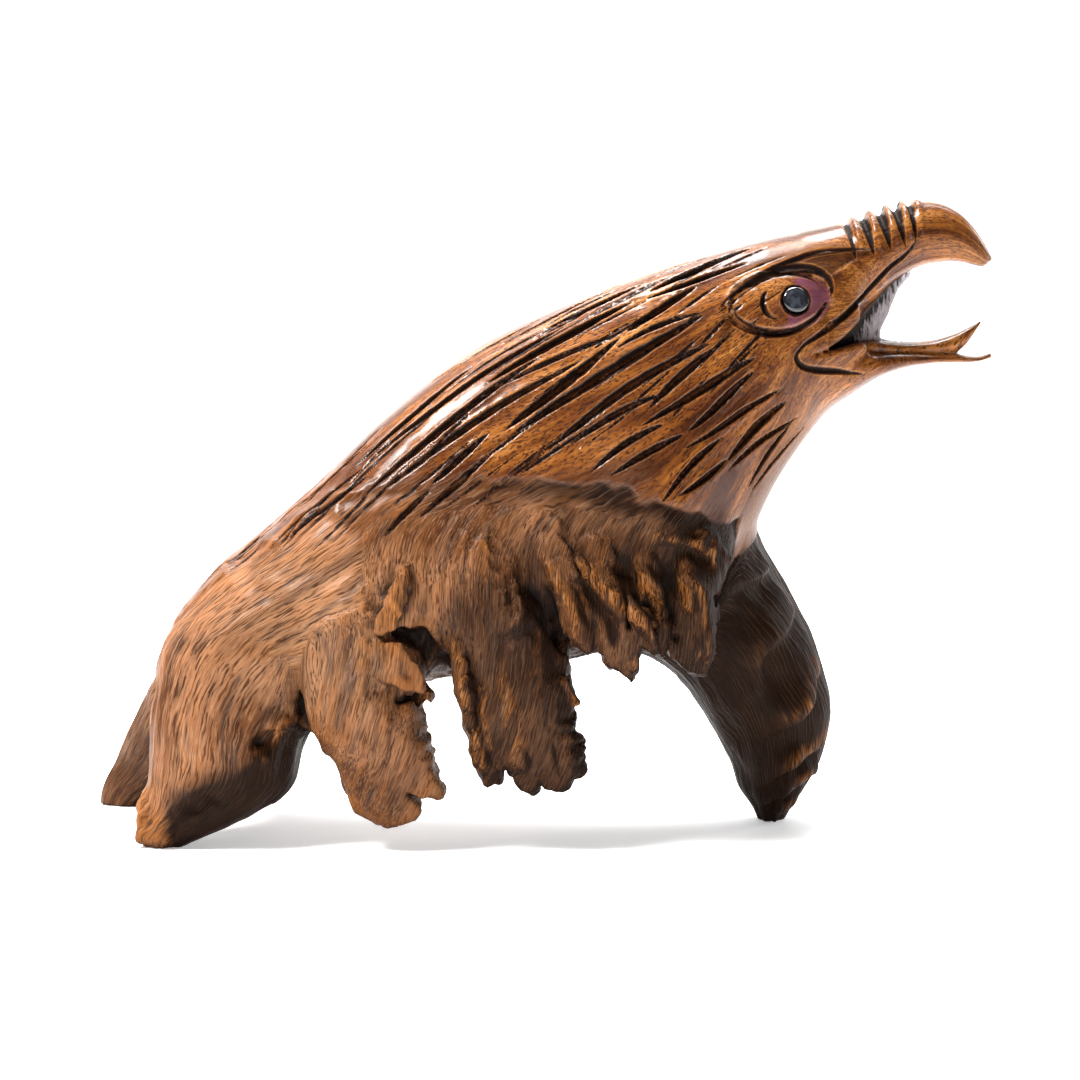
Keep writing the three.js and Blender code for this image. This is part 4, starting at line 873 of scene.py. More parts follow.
class Skin:
    """What is worked out at each point of the carving's skin: which limb it is on, its grain, how raw it
    is, the cuts across it and how far each moves it."""

    def __init__(self, limbs, points, normals):
        self.points, self.normals = points, normals
        self.limbs = limbs
        places = {name: limb.place(points) for name, limb in limbs.items()}
        away = np.stack([places[name][2] for name in limbs])
        self.share = self.weigh(away, 1.6)
        self.places = places
        self.grain = self.follow(away, [name in HEAD_LIMBS for name in limbs], 5.0)
        self.fibre = self.hang(away)
        self.on = dict(zip(limbs, self.share))
        self.measure_rawness()
        grown_over = smooth(self.below, 5, 13) * smooth(points[:, 0], -72, -50) * (1 - self.throat)
        self.rooted = np.maximum(1 - sum(self.on[name] for name in HEAD_LIMBS), grown_over)
        self.cuts = np.zeros(len(points))
        self.moved = np.zeros(len(points))
        self.sunk_shade = np.zeros(len(points))

    def look_round(self, wood, moved):
        """How full of wood the space round each point is, close by and farther off, as it was before the
        relief moved the point: a half on flat wood, more in a hollow and less on an edge."""
        before = self.points - self.normals * moved[:, None]
        self.hollow, self.deep = (wood.sample(wood.crowding(reach), before) for reach in (2.2, 7.0))

    def weigh(self, away, softness):
        """The share of each limb: exp(-distance/softness), divided by their sum."""
        share = np.exp(-(away - away.min(0)) / softness)
        return share / share.sum(0)

    def grain_of(self, name):
        """The grain of one limb at each point."""
        v, angle, _, short = self.places[name]
        return self.limbs[name].grain(v, angle, short)

    def follow(self, away, wanted, softness):
        """The grain of the wanted limbs, run together where they meet."""
        names = [name for name, good in zip(self.limbs, wanted) if good]
        share = self.weigh(away[np.array(wanted)], softness)
        return sum(w[:, None] * self.grain_of(name) for w, name in zip(share, names))

    def hang(self, away):
        """The grain of the raw wood: that of the feet and the leg, run together with the hanging roots',
        whose fibres all fall alike. There it is the place itself, shifted along x by the square of its
        height over or under a level."""
        x, y, z = self.points.T
        names = list(self.limbs)
        standing = [name for name in names if name.endswith(("foot", "leg"))]
        hanging = [name for name in names if name.startswith(("near_", "far_")) and name not in standing]
        over = z - FIBRES["level"]
        shift = np.where(over > 0, FIBRES["above"], -FIBRES["below"]) * over * over
        fall = np.stack([-z - FIBRES["lean"] * (x - shift), x - shift, y], -1)
        rows = np.array([names.index(name) for name in standing])
        gaps = np.concatenate([away[rows], away[[names.index(name) for name in hanging]].min(0)[None]])
        share = self.weigh(gaps, 2.0)
        charts = [self.grain_of(name) for name in standing] + [fall]
        return sum(w[:, None] * chart for w, chart in zip(share, charts))

    def measure_rawness(self):
        """0 on the polished neck and head, 1 on raw wood. It goes by the height under POLISH_EDGE, broken
        up by noise, and is 0 on the throat and the beak."""
        x, _, z = self.points.T
        edge, fade = (np.interp(x, *np.array(line, float).T) for line in (POLISH_EDGE, POLISH_FADE))
        wander = 3.5 * noise(self.points / 15, 21) + 2.0 * noise(self.points / 5, 22)
        below = edge + wander - z
        head = self.on["upper_beak"] + self.on["lower_jaw"] + self.on["tongue"]
        trunk = self.on["trunk"] + head
        slanted = x - THROAT["slant"] * (z - THROAT["z"])
        throat = smooth(slanted, THROAT["starts"], THROAT["full"]) * trunk
        self.below = np.where(throat > 0.5, -20, below)
        self.throat = throat * smooth(150 - z, -6, 10) * (1 - head)
        self.raw = np.maximum(smooth(self.below / fade, -1, 1), 1 - trunk) * (1 - head)
        self.head = head
        # Darkness: each limb's darkness; dark wood and painted shade under the rear foot's ledge; and on
        # the raw trunk, darker towards the front.
        dark = sum(DARKNESS.get(name, OTHER_DARKNESS) * share for name, share in self.on.items())
        ledge = np.interp(x, *np.array(LEDGE_LINE, float).T) + 3.0 * noise(self.points / 11, 23)
        under_foot = smooth(self.on["near_rear_foot"], 0.3, 0.7) * smooth(ledge - z, -8, 6)
        front = self.on["trunk"] * self.raw * 0.5 * smooth(x, -30, 40)
        dark = dark + under_foot * smooth(x, -133, -127) + front
        # Painted shade: raw faces that turn down, and those that turn towards +x away from the light, are
        # painted darker.
        facing = 0.5 * smooth(self.normals[:, 2], -0.1, -0.8) + 0.45 * smooth(self.normals[:, 0], 0.15, 0.8)
        self.dark = np.clip(dark + self.raw * facing, 0, 1)

    def move(self, rows, amount):
        """Adds to how far points move along their normals."""
        self.moved[rows] += amount

    def groove(self, path, half_width, depth, seed, ragged=0.25, rim=0.0, shade_width=1.0, soft=False):
        """Cuts a V along a path: depth * (1 - distance / width), where the width tapers to both ends by
        sin(pi * share)^0.6 and wanders with noise. A negative depth is a ridge. A cut's dark is painted
        shade, and shade width is how wide it is, as a share of its width. A soft one is rounded."""
        rows, gap, share = near_path(self.points, path, 3.2 * half_width)
        normal = self.normals[rows]
        gap = gap - (gap * normal).sum(1)[:, None] * normal
        far = np.linalg.norm(gap, axis=1)
        wander = 1 + ragged * noise(np.stack([share * len(path) * 1.7, 0 * share, 0 * share], -1), seed)
        wander += ragged * noise(self.points[rows] / 2.4, seed + 1)
        taper = np.maximum(np.sin(np.pi * share), 0) ** 0.6 * wander
        width = np.maximum(half_width * taper, 0.05)
        inside = np.clip(1 - far / width, 0, 1)
        if depth < 0 or soft:
            inside = smooth(inside, 0, 1)
        self.move(rows, -depth * np.minimum(taper, 1.2) * inside)
        if rim:
            outside = np.clip(1 - np.abs(far - 1.25 * width) / (0.5 * width), 0, 1)
            self.move(rows, rim * np.minimum(taper, 1) * outside)
        # The cut's dark, marked in cuts, is painted shade.
        if depth > 0:
            near = 1 - far / (3 * shade_width * np.maximum(width, 0.12))
            self.cuts[rows] = np.maximum(self.cuts[rows], near)

    def cut_gouges(self, deep):
        """The feather gouges of the neck: all of them on the near side, and every third one on the far
        side, a little out of place. Then the fine cuts between them, on the near side."""
        trunk = self.limbs["trunk"]
        for side in (-1, 1):
            for i, (v0, a0, v1, a1, bow, size) in enumerate(GOUGES):
                if side > 0 and i % 3:
                    continue
                slip, turn = (0, 0) if side < 0 else (0.04 * jump(i, 1), 6 * jump(i, 2))
                t = np.linspace(0, 1, 14)
                degrees = a0 + (a1 - a0) * t + bow * np.sin(np.pi * t) + turn
                path = trunk.point(v0 + (v1 - v0) * t + slip, side * np.radians(degrees))
                self.groove(path, GOUGE_HALF_WIDTH * size, deep * size, 100 + i, 0.08, rim=0.3, shade_width=0.9)
        for i in range(FINE_CUTS["count"]):
            low, high = FINE_CUTS["along"]
            v = low + (high - low) * (jump(i, 5) + 0.5)
            low, high = FINE_CUTS["around"]
            degrees = low + (high - low) * (jump(i, 6) + 0.5) * smooth(v, 0.1, 0.5)
            low, high = FINE_CUTS["size"]
            size = low + (high - low) * (jump(i, 9) + 0.5)
            reach, swing = 0.05 + 0.05 * (jump(i, 7) + 0.5), 6 + 4 * jump(i, 8)
            t = np.linspace(0, 1, 10)
            path = trunk.point(v + reach * t, -np.radians(degrees + swing * (0.5 - t)))
            self.groove(path, GOUGE_HALF_WIDTH * size, deep * size * 0.8, 200 + i, 0.2)

    def face_path(self, points, side, count=26):
        """The skin's points under a smooth line of the side view, taking whichever limb is outermost."""
        x, z = curve(np.array(points, float), count).T
        found = []
        for name in ("trunk", "upper_beak", "lower_jaw"):
            limb = self.limbs[name]
            v, angle = limb.on_skin(x, z, side)
            here = limb.point(v, angle)
            off = np.hypot(here[:, 0] - x, here[:, 2] - z) > 1.0
            found.append(np.where(off[:, None], [0, -99 * side, 0], here))
        found = np.stack(found)
        pick = np.argmax(side * found[..., 1], 0)
        return found[pick, np.arange(count)]

    def carve_face(self):
        """The lines of the beak, the lids, the iris and the brow, and the eyeball's low mound."""
        for side in (-1, 1):
            for i, (points, half_width, depth) in enumerate(FACE_LINES.values()):
                self.groove(self.face_path(points, side), half_width, depth, 300 + i, 0.06, shade_width=FACE_SHADE_WIDTH)
            x, y, z = self.points.T
            on_side = (side * y > 5) & (self.on["trunk"] + self.on["upper_beak"] > 0.3)
            lid = np.interp(x, *np.array(FACE_LINES["upper_lid"][0], float).T)
            recess = smooth(lid - z, -0.2, 1.2) * smooth(z - lid + LID_RECESS["down"], 0, 12)
            recess *= smooth(x, LID_RECESS["back"], LID_RECESS["back"] + 6)
            recess *= smooth(LID_RECESS["front"] - x, 0, 6)
            self.moved -= LID_RECESS["depth"] * recess * on_side
            lines = (BROW_LINE, HOLLOW_LINE, FACET_LINE)
            brow, low, facet = (np.interp(x, *np.array(line, float).T) for line in lines)
            # Painted shade in the hollow over the eye.
            dim = smooth(brow - z, -0.4, 0.8) * smooth(z - low, -1.2, 0.6)
            dim *= smooth(x, BROW_HOLLOW["back"], BROW_HOLLOW["back"] + 8)
            dim *= smooth(BROW_HOLLOW["front"] - x, 0, 9)
            self.sunk_shade = np.maximum(self.sunk_shade, dim * on_side)
            self.moved -= BROW_HOLLOW["depth"] * dim * on_side
            dull = smooth(z - brow, 0, 1.0) * smooth(facet - z, -0.5, 1.0)
            dull *= smooth(x, FACET_ENDS["back"], FACET_ENDS["back"] + 4)
            dull *= smooth(FACET_ENDS["front"] - x, 0, 3)
            self.throat = np.maximum(self.throat, 0.9 * dull * on_side)
            inside = 1 - ((x - EYEBALL["x"]) / EYEBALL["half_length"]) ** 2
            inside = inside - ((z - EYEBALL["z"]) / EYEBALL["half_height"]) ** 2
            self.moved += EYEBALL["rise"] * np.sqrt(np.clip(inside, 0, 1)) * on_side
            mound = 1 - ((x - EYE_CORNER["x"]) / EYE_CORNER["half_length"]) ** 2
            mound = mound - ((z - EYE_CORNER["z"]) / EYE_CORNER["half_height"]) ** 2
            self.moved += EYE_CORNER["rise"] * np.sqrt(np.clip(mound, 0, 1)) * on_side
            around = np.hypot(x - EYE["x"], z - EYE["z"])
            around = around + 0.4 * noise(self.points / 1.6, 46)
            socket = smooth(EYE["radius"] + 0.9 - around, 0, 0.9) * on_side
            self.moved -= 1.4 * socket
            # Painted shade: a dark ring in the wood round the bead's socket.
            rim = 1 - np.abs(around - EYE["radius"] - 0.1) / 2.7
            self.cuts = np.maximum(self.cuts, np.clip(rim, 0, 1) * on_side)
        along = (x - EYEBALL["x"]) / EYEBALL["half_length"]
        up = (z - EYEBALL["z"]) / EYEBALL["half_height"]
        almond = 1 - np.hypot(along, up)
        left = x - STAIN_EDGE["x"] - STAIN_EDGE["slant"] * (z - STAIN_EDGE["z"])
        left = left + 1.4 * noise(self.points / 2.5, 44)
        self.stain = smooth(almond, -0.04, 0.05) * smooth(left, -0.5, 1.5) * (np.abs(y) > 5)
        wall = smooth(MOUTH_WALL["half"] - np.abs(y), 0, 0.8)
        wall *= smooth(x, MOUTH_WALL["back"], MOUTH_WALL["back"] + 3)
        wall *= smooth(MOUTH_WALL["front"] - x, 0, 3)
        wall *= smooth(z - MOUTH_WALL["low"], 0, 1.5) * smooth(MOUTH_WALL["high"] - z, 0, 2)
        front = x - PALE_WEB["x"] - PALE_WEB["slant"] * (z - PALE_WEB["z"])
        self.mouth = wall * smooth(front, -5, 3)
        # Painted shade at the back of the mouth's wall.
        self.sunk_shade = np.maximum(self.sunk_shade, 1.2 * wall * smooth(front, 2.5, -1))

    def fold_leg(self):
        """The pillow folds across the front leg: each rises slowly down the leg and drops sharply into the
        valley below it, on the two faces."""
        v, angle, *_ = self.places["front_leg"]
        wave = (v + LEG_FOLDS["lean"] * np.cos(angle) - LEG_FOLDS["valley"]) / LEG_FOLDS["spacing"]
        wave = wave + 0.3 * noise(self.points / 16, 45)
        t = wave - np.floor(wave)
        shape = smooth(t, 0, 0.75) * (1 - smooth(t, 0.84, 1.0))
        edge = np.cos(angle)
        face = np.abs(np.sin(angle)) ** 0.7 * smooth(edge, -0.7, 0.4) * smooth(0.99 - edge, 0, 0.1)
        rise = smooth(v, 0.1, 0.24) * smooth(0.95 - v, 0.0, 0.12) * smooth(self.on["front_leg"], 0.4, 0.8)
        self.moved += LEG_FOLDS["height"] * (shape - 0.45) * face * rise
        # Painted highlight: the lit crests of the folds near the leg's front edge are marked to be painted
        # gold.
        lit = smooth(t, 0.45, 0.7) * (1 - smooth(t, 0.8, 0.9)) * smooth(edge, -0.15, 0.4)
        lit *= smooth(v, 0.28, 0.42)
        self.crest = face * rise * lit * smooth(noise(self.points / 7, 47), -0.5, 0.4)
        # Painted highlight also on the flake, on the wood left of the broken stub and on the sides of the
        # small near growths that turn towards -x and the light.
        left_of_stub = smooth(-50 - self.points[:, 0], -2.5, 2.5)
        for outline, y, part in ((FLAKE[1], -45, 1), (STUB[1], -49, left_of_stub)):
            self.crest = np.maximum(self.crest, part * self.near_outline(np.array(outline), y))
        for start, end, radii, _ in GROWTHS:
            if start[1] < 0 and max(radii) < 4.7:
                rows, gap, share = near_path(self.points, np.array([start, end], float), 8)
                inside = radii[0] + (radii[1] - radii[0]) * share - np.linalg.norm(gap, axis=1)
                lit = smooth(inside, -2.0, 0.6) * smooth(self.normals[rows, 0], 0.75, -0.1)
                self.crest[rows] = np.maximum(self.crest[rows], lit)

    def fold_roots(self):
        """The ridges and valleys of the near roots, each by its distance from a line of the side view."""
        near = smooth(-self.normals[:, 1], 0.0, 0.5) * (self.points[:, 1] < -20)
        for points, half_width, depth in SIDE_FOLDS:
            line = curve(np.array(points, float), 24)
            flat = self.points * [1, 0, 1] + 0.8 * noise(self.points / 5, 48)[:, None]
            path = np.stack([line[:, 0], 0 * line[:, 0], line[:, 1]], -1)
            rows, gap, share = near_path(flat, path, 3 * half_width)
            ends = smooth(np.sin(np.pi * share), 0, 0.5)
            inside = smooth(1 - np.linalg.norm(gap, axis=1) / (1.5 * half_width), 0, 1) * ends * near[rows]
            self.move(rows, -depth * inside)
            # Painted shade darkens the valleys, and the ridges get a painted highlight where they turn
            # towards -x and the light.
            if depth > 0:
                self.dark[rows] = np.clip(self.dark[rows] + 0.9 * inside, 0, 1)
            else:
                lit = smooth(inside, 0.35, 0.9) * smooth(self.normals[rows, 0], 0.7, 0.0)
                self.crest[rows] = np.maximum(self.crest[rows], 0.9 * lit)

    def near_outline(self, outline, y):
        """1 inside a small outline of the side view on the near skin, falling to 0 a little way outside."""
        middle, half = (outline.max(0) + outline.min(0)) / 2, (outline.max(0) - outline.min(0)) / 2
        lean = np.polyfit(outline[:, 1], outline[:, 0], 1)
        x, z = self.points[:, 0], self.points[:, 2]
        across = (x - np.polyval(lean, z)) / (0.45 * half[0])
        away = np.hypot(across, (z - middle[1]) / half[1])
        return smooth(1.3 - away, 0, 0.4) * (self.points[:, 1] < y + 3)

    def notch_beak(self):
        """The notches over the top of the beak: a groove down each side from the crest, leaning forward,
        with a lump in front of each."""
        beak = self.limbs["upper_beak"]
        for i, (x, lean, half_width, depth) in enumerate(CERE_NOTCHES):
            t = np.linspace(-1, 1, 21)
            side = np.sign(t + 1e-6)
            drop = NOTCH_CREST["top"] + NOTCH_CREST["drop"] * t * t
            crest = NOTCH_CREST["z"] + (x - NOTCH_CREST["x"]) * NOTCH_CREST["slope"]
            path = beak.point(*beak.on_skin(x + lean * t * t, crest - drop, side))
            self.groove(path, 1.25 * half_width, 0.75 * depth, 400 + i, 0.1, shade_width=0.85, soft=True)
            ahead = x + LUMP["ahead"] + lean * t * t
            path = beak.point(*beak.on_skin(ahead, crest + LUMP["above"] - drop, side))
            self.groove(path, LUMP["half_width"], -LUMP["height"], 420 + i, 0.1)

    def roughen(self, lumps, fibres):
        """Relief of the wood itself. Raw wood has lumps, wandering ridges along the grain and fine fibres.
        The polished neck keeps only the flats left by the knife."""
        raw, ridges, threads = self.raw, 0, 0
        for share, grain in ((1 - self.rooted, self.grain), (self.rooted, self.fibre)):
            pushed = np.stack([noise(grain / [14, 9, 9], seed) for seed in (31, 32, 33)], -1)
            wave = grain + 1.2 * pushed * [0, 1, 1]
            ridges = ridges + share * noise(wave / [46, 5.2, 5.2], 34)
            threads = threads + share * noise(wave / [18, 2.1, 2.1], 35)
        swells = 0.9 * noise(self.points / 15, 36) + 0.45 * noise(self.points / 6.5, 37)
        flats = noise(self.grain / [40, 8, 8], 38)
        raised = 1 - 2 * np.abs(ridges)
        self.ridge = smooth(raised, 0.1, 0.9)
        ridge_height = lumps * (0.55 + 0.35 * self.rooted)
        self.moved += raw * (lumps * swells + ridge_height * raised + fibres * threads)
        self.moved += (1 - raw) * 0.3 * flats * (1 - 0.7 * self.head)
        self.moved -= 0.9 * smooth(self.below, -0.5, 1.5) * self.on["trunk"] * (1 - self.throat)

    def mask_collar(self):
        """Where the torn band just under the polished wood is: 1 at the edge, 0 a few millimetres below."""
        x = self.points[:, 0]
        depth = 4 + 6 * smooth(x, -60, 30)
        wander = 1 + 0.5 * noise(self.points / 7, 41)
        fade = 1 - smooth(self.below, 0.3 * depth, depth * wander + 2)
        self.collar = smooth(self.below, -0.5, 1.0) * fade
        self.collar *= self.on["trunk"] * (1 - self.throat) * smooth(x, -60, 10)
        self.moved -= 0.5 * self.collar
        self.dark = np.clip(self.dark + 0.6 * self.collar, 0, 1)


def jump(i, salt):
    """A number from -0.5 to 0.5 that jumps about as i counts up, the same on every run."""
    return math.sin(i * 12.9898 + salt * 78.233) * 43758.5453 % 1 - 0.5


def clothe(limbs, points, faces, sizes):
    """The skin's readings at the points, with all the relief worked out but not yet applied."""
    skin = Skin(limbs, points, normals_of(points, faces))
    skin.cut_gouges(sizes.gouge_depth * 1000)
    skin.notch_beak()
    skin.carve_face()
    skin.fold_leg()
    skin.fold_roots()
    skin.roughen(sizes.lump_height * 1000, sizes.fibre_height * 1000)
    skin.mask_collar()
    return skin


def thin(points, faces, target, keep):
    """The mesh with its triangles thinned to a number, fewest where it is flattest. Where keep is 1 they
    stay."""
    rough = new_mesh("thinning", points, faces)
    piece = bpy.data.objects.new("thinning", rough)
    bpy.context.scene.collection.objects.link(piece)
    less = piece.modifiers.new("thin", "DECIMATE")
    less.ratio = min(1.0, target / (2 * len(faces)))
    less.use_collapse_triangulate = True
    group = piece.vertex_groups.new(name="free")
    for level in range(5):
        rows = np.flatnonzero(np.round(4 * keep) == level)
        group.add(rows.tolist(), 1 - level / 4, "REPLACE")
    less.vertex_group = "free"
    less.vertex_group_factor = 1.0
    made = piece.evaluated_get(bpy.context.evaluated_depsgraph_get()).to_mesh()
    made.calc_loop_triangles()
    out_points = np.empty(len(made.vertices) * 3, np.float32)
    out_faces = np.empty(len(made.loop_triangles) * 3, np.int32)
    made.vertices.foreach_get("co", out_points)
    made.loop_triangles.foreach_get("vertices", out_faces)
    bpy.data.objects.remove(piece)
    bpy.data.meshes.remove(rough)
    return out_points.reshape(-1, 3).astype(float), out_faces.reshape(-1, 3).astype(np.int64)


def new_mesh(name, points, faces):
    """A smooth-shaded mesh from arrays of points and faces that all have as many corners."""
    mesh = bpy.data.meshes.new(name)
    corners = faces.shape[1]
    mesh.vertices.add(len(points))
    mesh.loops.add(faces.size)
    mesh.polygons.add(len(faces))
    mesh.vertices.foreach_set("co", np.asarray(points, np.float32).ravel())
    mesh.loops.foreach_set("vertex_index", faces.ravel().astype(np.int32))
    mesh.polygons.foreach_set("loop_start", np.arange(0, faces.size, corners, dtype=np.int32))
    mesh.polygons.foreach_set("use_smooth", np.ones(len(faces), bool))
    mesh.update()
    mesh.validate()
    return mesh


def main_part(points, faces):
    """The faces of the largest piece, so that no loose crumb of wood is left, and its points renumbered."""
    group = np.arange(len(points))
    while True:
        lowest = group[faces].min(1)
        before = group.copy()
        for k in range(faces.shape[1]):
            np.minimum.at(group, faces[:, k], lowest)
        group = group[group]
        if (group == before).all():
            break
    main = np.bincount(group).argmax()
    faces = faces[group[faces[:, 0]] == main]
    used, faces = np.unique(faces, return_inverse=True)
    return points[used], faces.reshape(-1, 4)


def to_frame(points):
    """From the ribs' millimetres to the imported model's metres."""
    return (points - MIDDLE) * MM


def paint(mesh, name, kind, values):
    """Stores an attribute at each point: a vector of three numbers or a colour of four."""
    layer = mesh.attributes.new(name, kind, "POINT")
    field = "vector" if kind == "FLOAT_VECTOR" else "color"
    layer.data.foreach_set(field, values.astype(np.float32).ravel())


def make_carving(sizes):
    """The carved wood's object."""
    limbs = make_limbs()
    wood = make_wood(limbs, sizes.cell * 1000)
    points, faces = main_part(*wood.skin())
    skin = clothe(limbs, points, faces, sizes)
    points = points + skin.normals * skin.moved[:, None]
    points[:, 2] = np.maximum(points[:, 2], 0)
    near = points[:, 1] < 0
    along = np.abs(points[:, 0] - FACE_PATCH["x"]) < FACE_PATCH["half_length"]
    on_face = along & (points[:, 2] > FACE_PATCH["low"])
    keep = np.maximum(smooth(skin.cuts, 0.45, 0.62) * np.where(near, 1, 0.5), 0.5 * (on_face & near))
    points, faces = thin(points, faces, sizes.triangles, keep)
    skin = clothe(limbs, points, faces, sizes)
    skin.look_round(wood, skin.moved)
    mesh = new_mesh("eagle_head_wood", to_frame(points), faces)
    paint(mesh, "grain", "FLOAT_VECTOR", skin.grain)
    paint(mesh, "fibre", "FLOAT_VECTOR", skin.fibre)
    paint(mesh, "marks", "FLOAT_COLOR", np.stack([skin.cuts, skin.raw, skin.hollow, skin.deep], -1))
    touch = np.stack([skin.stain, skin.ridge, skin.throat, skin.dark], -1)
    paint(mesh, "touch", "FLOAT_COLOR", touch)
    # golden holds the painted highlight of lit crests, the painted shade of recesses, the mouth's web and
    # the root grain's share.
    golden = np.stack([skin.crest, skin.sunk_shade, skin.mouth, skin.rooted], -1)
    paint(mesh, "golden", "FLOAT_COLOR", golden)
    piece = bpy.data.objects.new("eagle_head_wood", mesh)
    bpy.context.scene.collection.objects.link(piece)
    return piece


class Number:
    """A number's socket in a material. Sums on it add Math nodes."""

    def __init__(self, finish, socket):
        self.finish, self.socket = finish, socket

    def __add__(self, other):
        return self.finish.math("ADD", self, other)

    def __sub__(self, other):
        return self.finish.math("SUBTRACT", self, other)

    def __rsub__(self, other):
        return self.finish.math("SUBTRACT", other, self)

    def __mul__(self, other):
        return self.finish.math("MULTIPLY", self, other)

    def __truediv__(self, other):
        return self.finish.math("DIVIDE", self, other)

    def __pow__(self, other):
        return self.finish.math("POWER", self, other)

    __radd__ = __add__
    __rmul__ = __mul__


class Finish:
    """A material and the nodes that make it."""

    def __init__(self, name, **constants):
        self.material = bpy.data.materials.new(name)
        self.material.use_nodes = True
        self.tree = self.material.node_tree
        self.shader = self.tree.nodes["Principled BSDF"]
        for socket, value in constants.items():
            self.shader.inputs[socket.replace("_", " ")].default_value = value

    def node(self, kind, settings, inputs):
        """A node: its settings are made first, then its sockets are set or linked."""
        made = self.tree.nodes.new(kind)
        for key, value in settings.items():
            if key == "stops":
                self.set_stops(made.color_ramp.elements, value)
            else:
                setattr(made, key, value)
        for key, value in inputs.items():
            self.feed(made.inputs[key], value)
        return made

    def set_stops(self, elements, stops):
        """The stops of a ramp, as places and colours."""
        while len(elements) < len(stops):
            elements.new(1.0)
        for element, (place, colour) in zip(elements, stops):
            element.position = place
            element.color = (*colour, 1.0)

    def feed(self, socket, value):
        """Links a socket to another, or gives it a value."""
        value = value.socket if isinstance(value, Number) else value
        if isinstance(value, bpy.types.NodeSocket):
            self.tree.links.new(value, socket)
        elif socket.type == "RGBA" and len(value) == 3:
            socket.default_value = (*value, 1.0)
        else:
            socket.default_value = value

    def math(self, operation, a, b):
        """One sum on numbers."""
        made = self.node("ShaderNodeMath", {"operation": operation}, {0: a, 1: b})
        return Number(self, made.outputs[0])

    def between(self, value, low, high):
        """From 0 where the value is low to 1 where it is high, with a smooth start and end."""
        settings = {"interpolation_type": "SMOOTHSTEP"}
        inputs = {"Value": value, "From Min": low, "From Max": high}
        made = self.node("ShaderNodeMapRange", settings, inputs)
        return Number(self, made.outputs["Result"])

    def vector(self, operation, a, b):
        """One sum on vectors."""
        return self.node("ShaderNodeVectorMath", {"operation": operation}, {0: a, 1: b}).outputs[0]

    def noise(self, place, sizes, detail=2.0, roughness=0.5):
        """Noise whose features have the given sizes, in the same units as the place."""
        scaled = self.vector("MULTIPLY", place, tuple(1 / size for size in sizes))
        inputs = {"Vector": scaled, "Scale": 1.0, "Detail": detail, "Roughness": roughness}
        return self.node("ShaderNodeTexNoise", {}, inputs)

    def grey(self, place, sizes, detail=2.0, roughness=0.5):
        """The same noise as a number round a half."""
        return Number(self, self.noise(place, sizes, detail, roughness).outputs[0])

    def wander(self, place, sizes, reach):
        """The place moved about by noise, as far along each axis as reach says."""
        pushed = self.vector("SUBTRACT", self.noise(place, sizes, 1.0).outputs["Color"], (0.5, 0.5, 0.5))
        return self.vector("ADD", place, self.vector("MULTIPLY", pushed, tuple(2 * r for r in reach)))

    def ramp(self, value, stops):
        """A colour that goes through stops as the value rises."""
        return self.node("ShaderNodeValToRGB", {"stops": stops}, {"Fac": value}).outputs["Color"]

    def mix(self, share, a, b, blend="MIX"):
        """The colour a, with a share of b laid over it."""
        settings = {"data_type": "RGBA", "blend_type": blend}
        return self.node("ShaderNodeMix", settings, {0: share, 6: a, 7: b}).outputs[2]

    def parts(self, vector):
        """The three numbers of a vector."""
        return [Number(self, part) for part in self.node("ShaderNodeSeparateXYZ", {}, {0: vector}).outputs]

    def attribute(self, name):
        """The red, green, blue and alpha of an attribute as numbers, and its vector."""
        read = self.node("ShaderNodeAttribute", {"attribute_name": name}, {})
        parts = self.node("ShaderNodeSeparateColor", {}, {0: read.outputs["Color"]})
        numbers = [Number(self, parts.outputs[k]) for k in range(3)]
        return [*numbers, Number(self, read.outputs["Alpha"]), read.outputs["Vector"]]

    def bump(self, height):
        """Relief of a height in millimetres on the shader's normal."""
        inputs = {"Height": height, "Distance": MM, "Strength": 1.0}
        self.feed(self.shader.inputs["Normal"], self.node("ShaderNodeBump", {}, inputs).outputs[0])


def fibres(wood, grain):
    """The patterns that run along a grain: fine threads, broader strands, thin pale lines and smoky
    streaks."""
    wavy = wood.wander(wood.wander(grain, (24, 12, 12), (0, 1.4, 1.4)), (4.4, 2.8, 2.8), (0, 0.36, 0.36))
    threads = wood.grey(wavy, (8, 0.58, 0.58), 1.5, 0.5)
    strands = wood.grey(wavy, (26, 1.9, 1.9), 2.0, 0.5)
    across = wood.parts(wavy)[1]
    turns = across * (2 * math.pi / 1.2) + (wood.grey(wavy, (14, 5, 5), 1.0) - 0.5) * 7
    lines = wood.between(wood.math("SINE", turns, 0), 0.7, 1.0)
    smoke = wood.grey(wavy, (26, 5.0, 5.0), 2.0, 0.55)
    return threads, strands, lines * wood.between(smoke, 0.44, 0.56), smoke


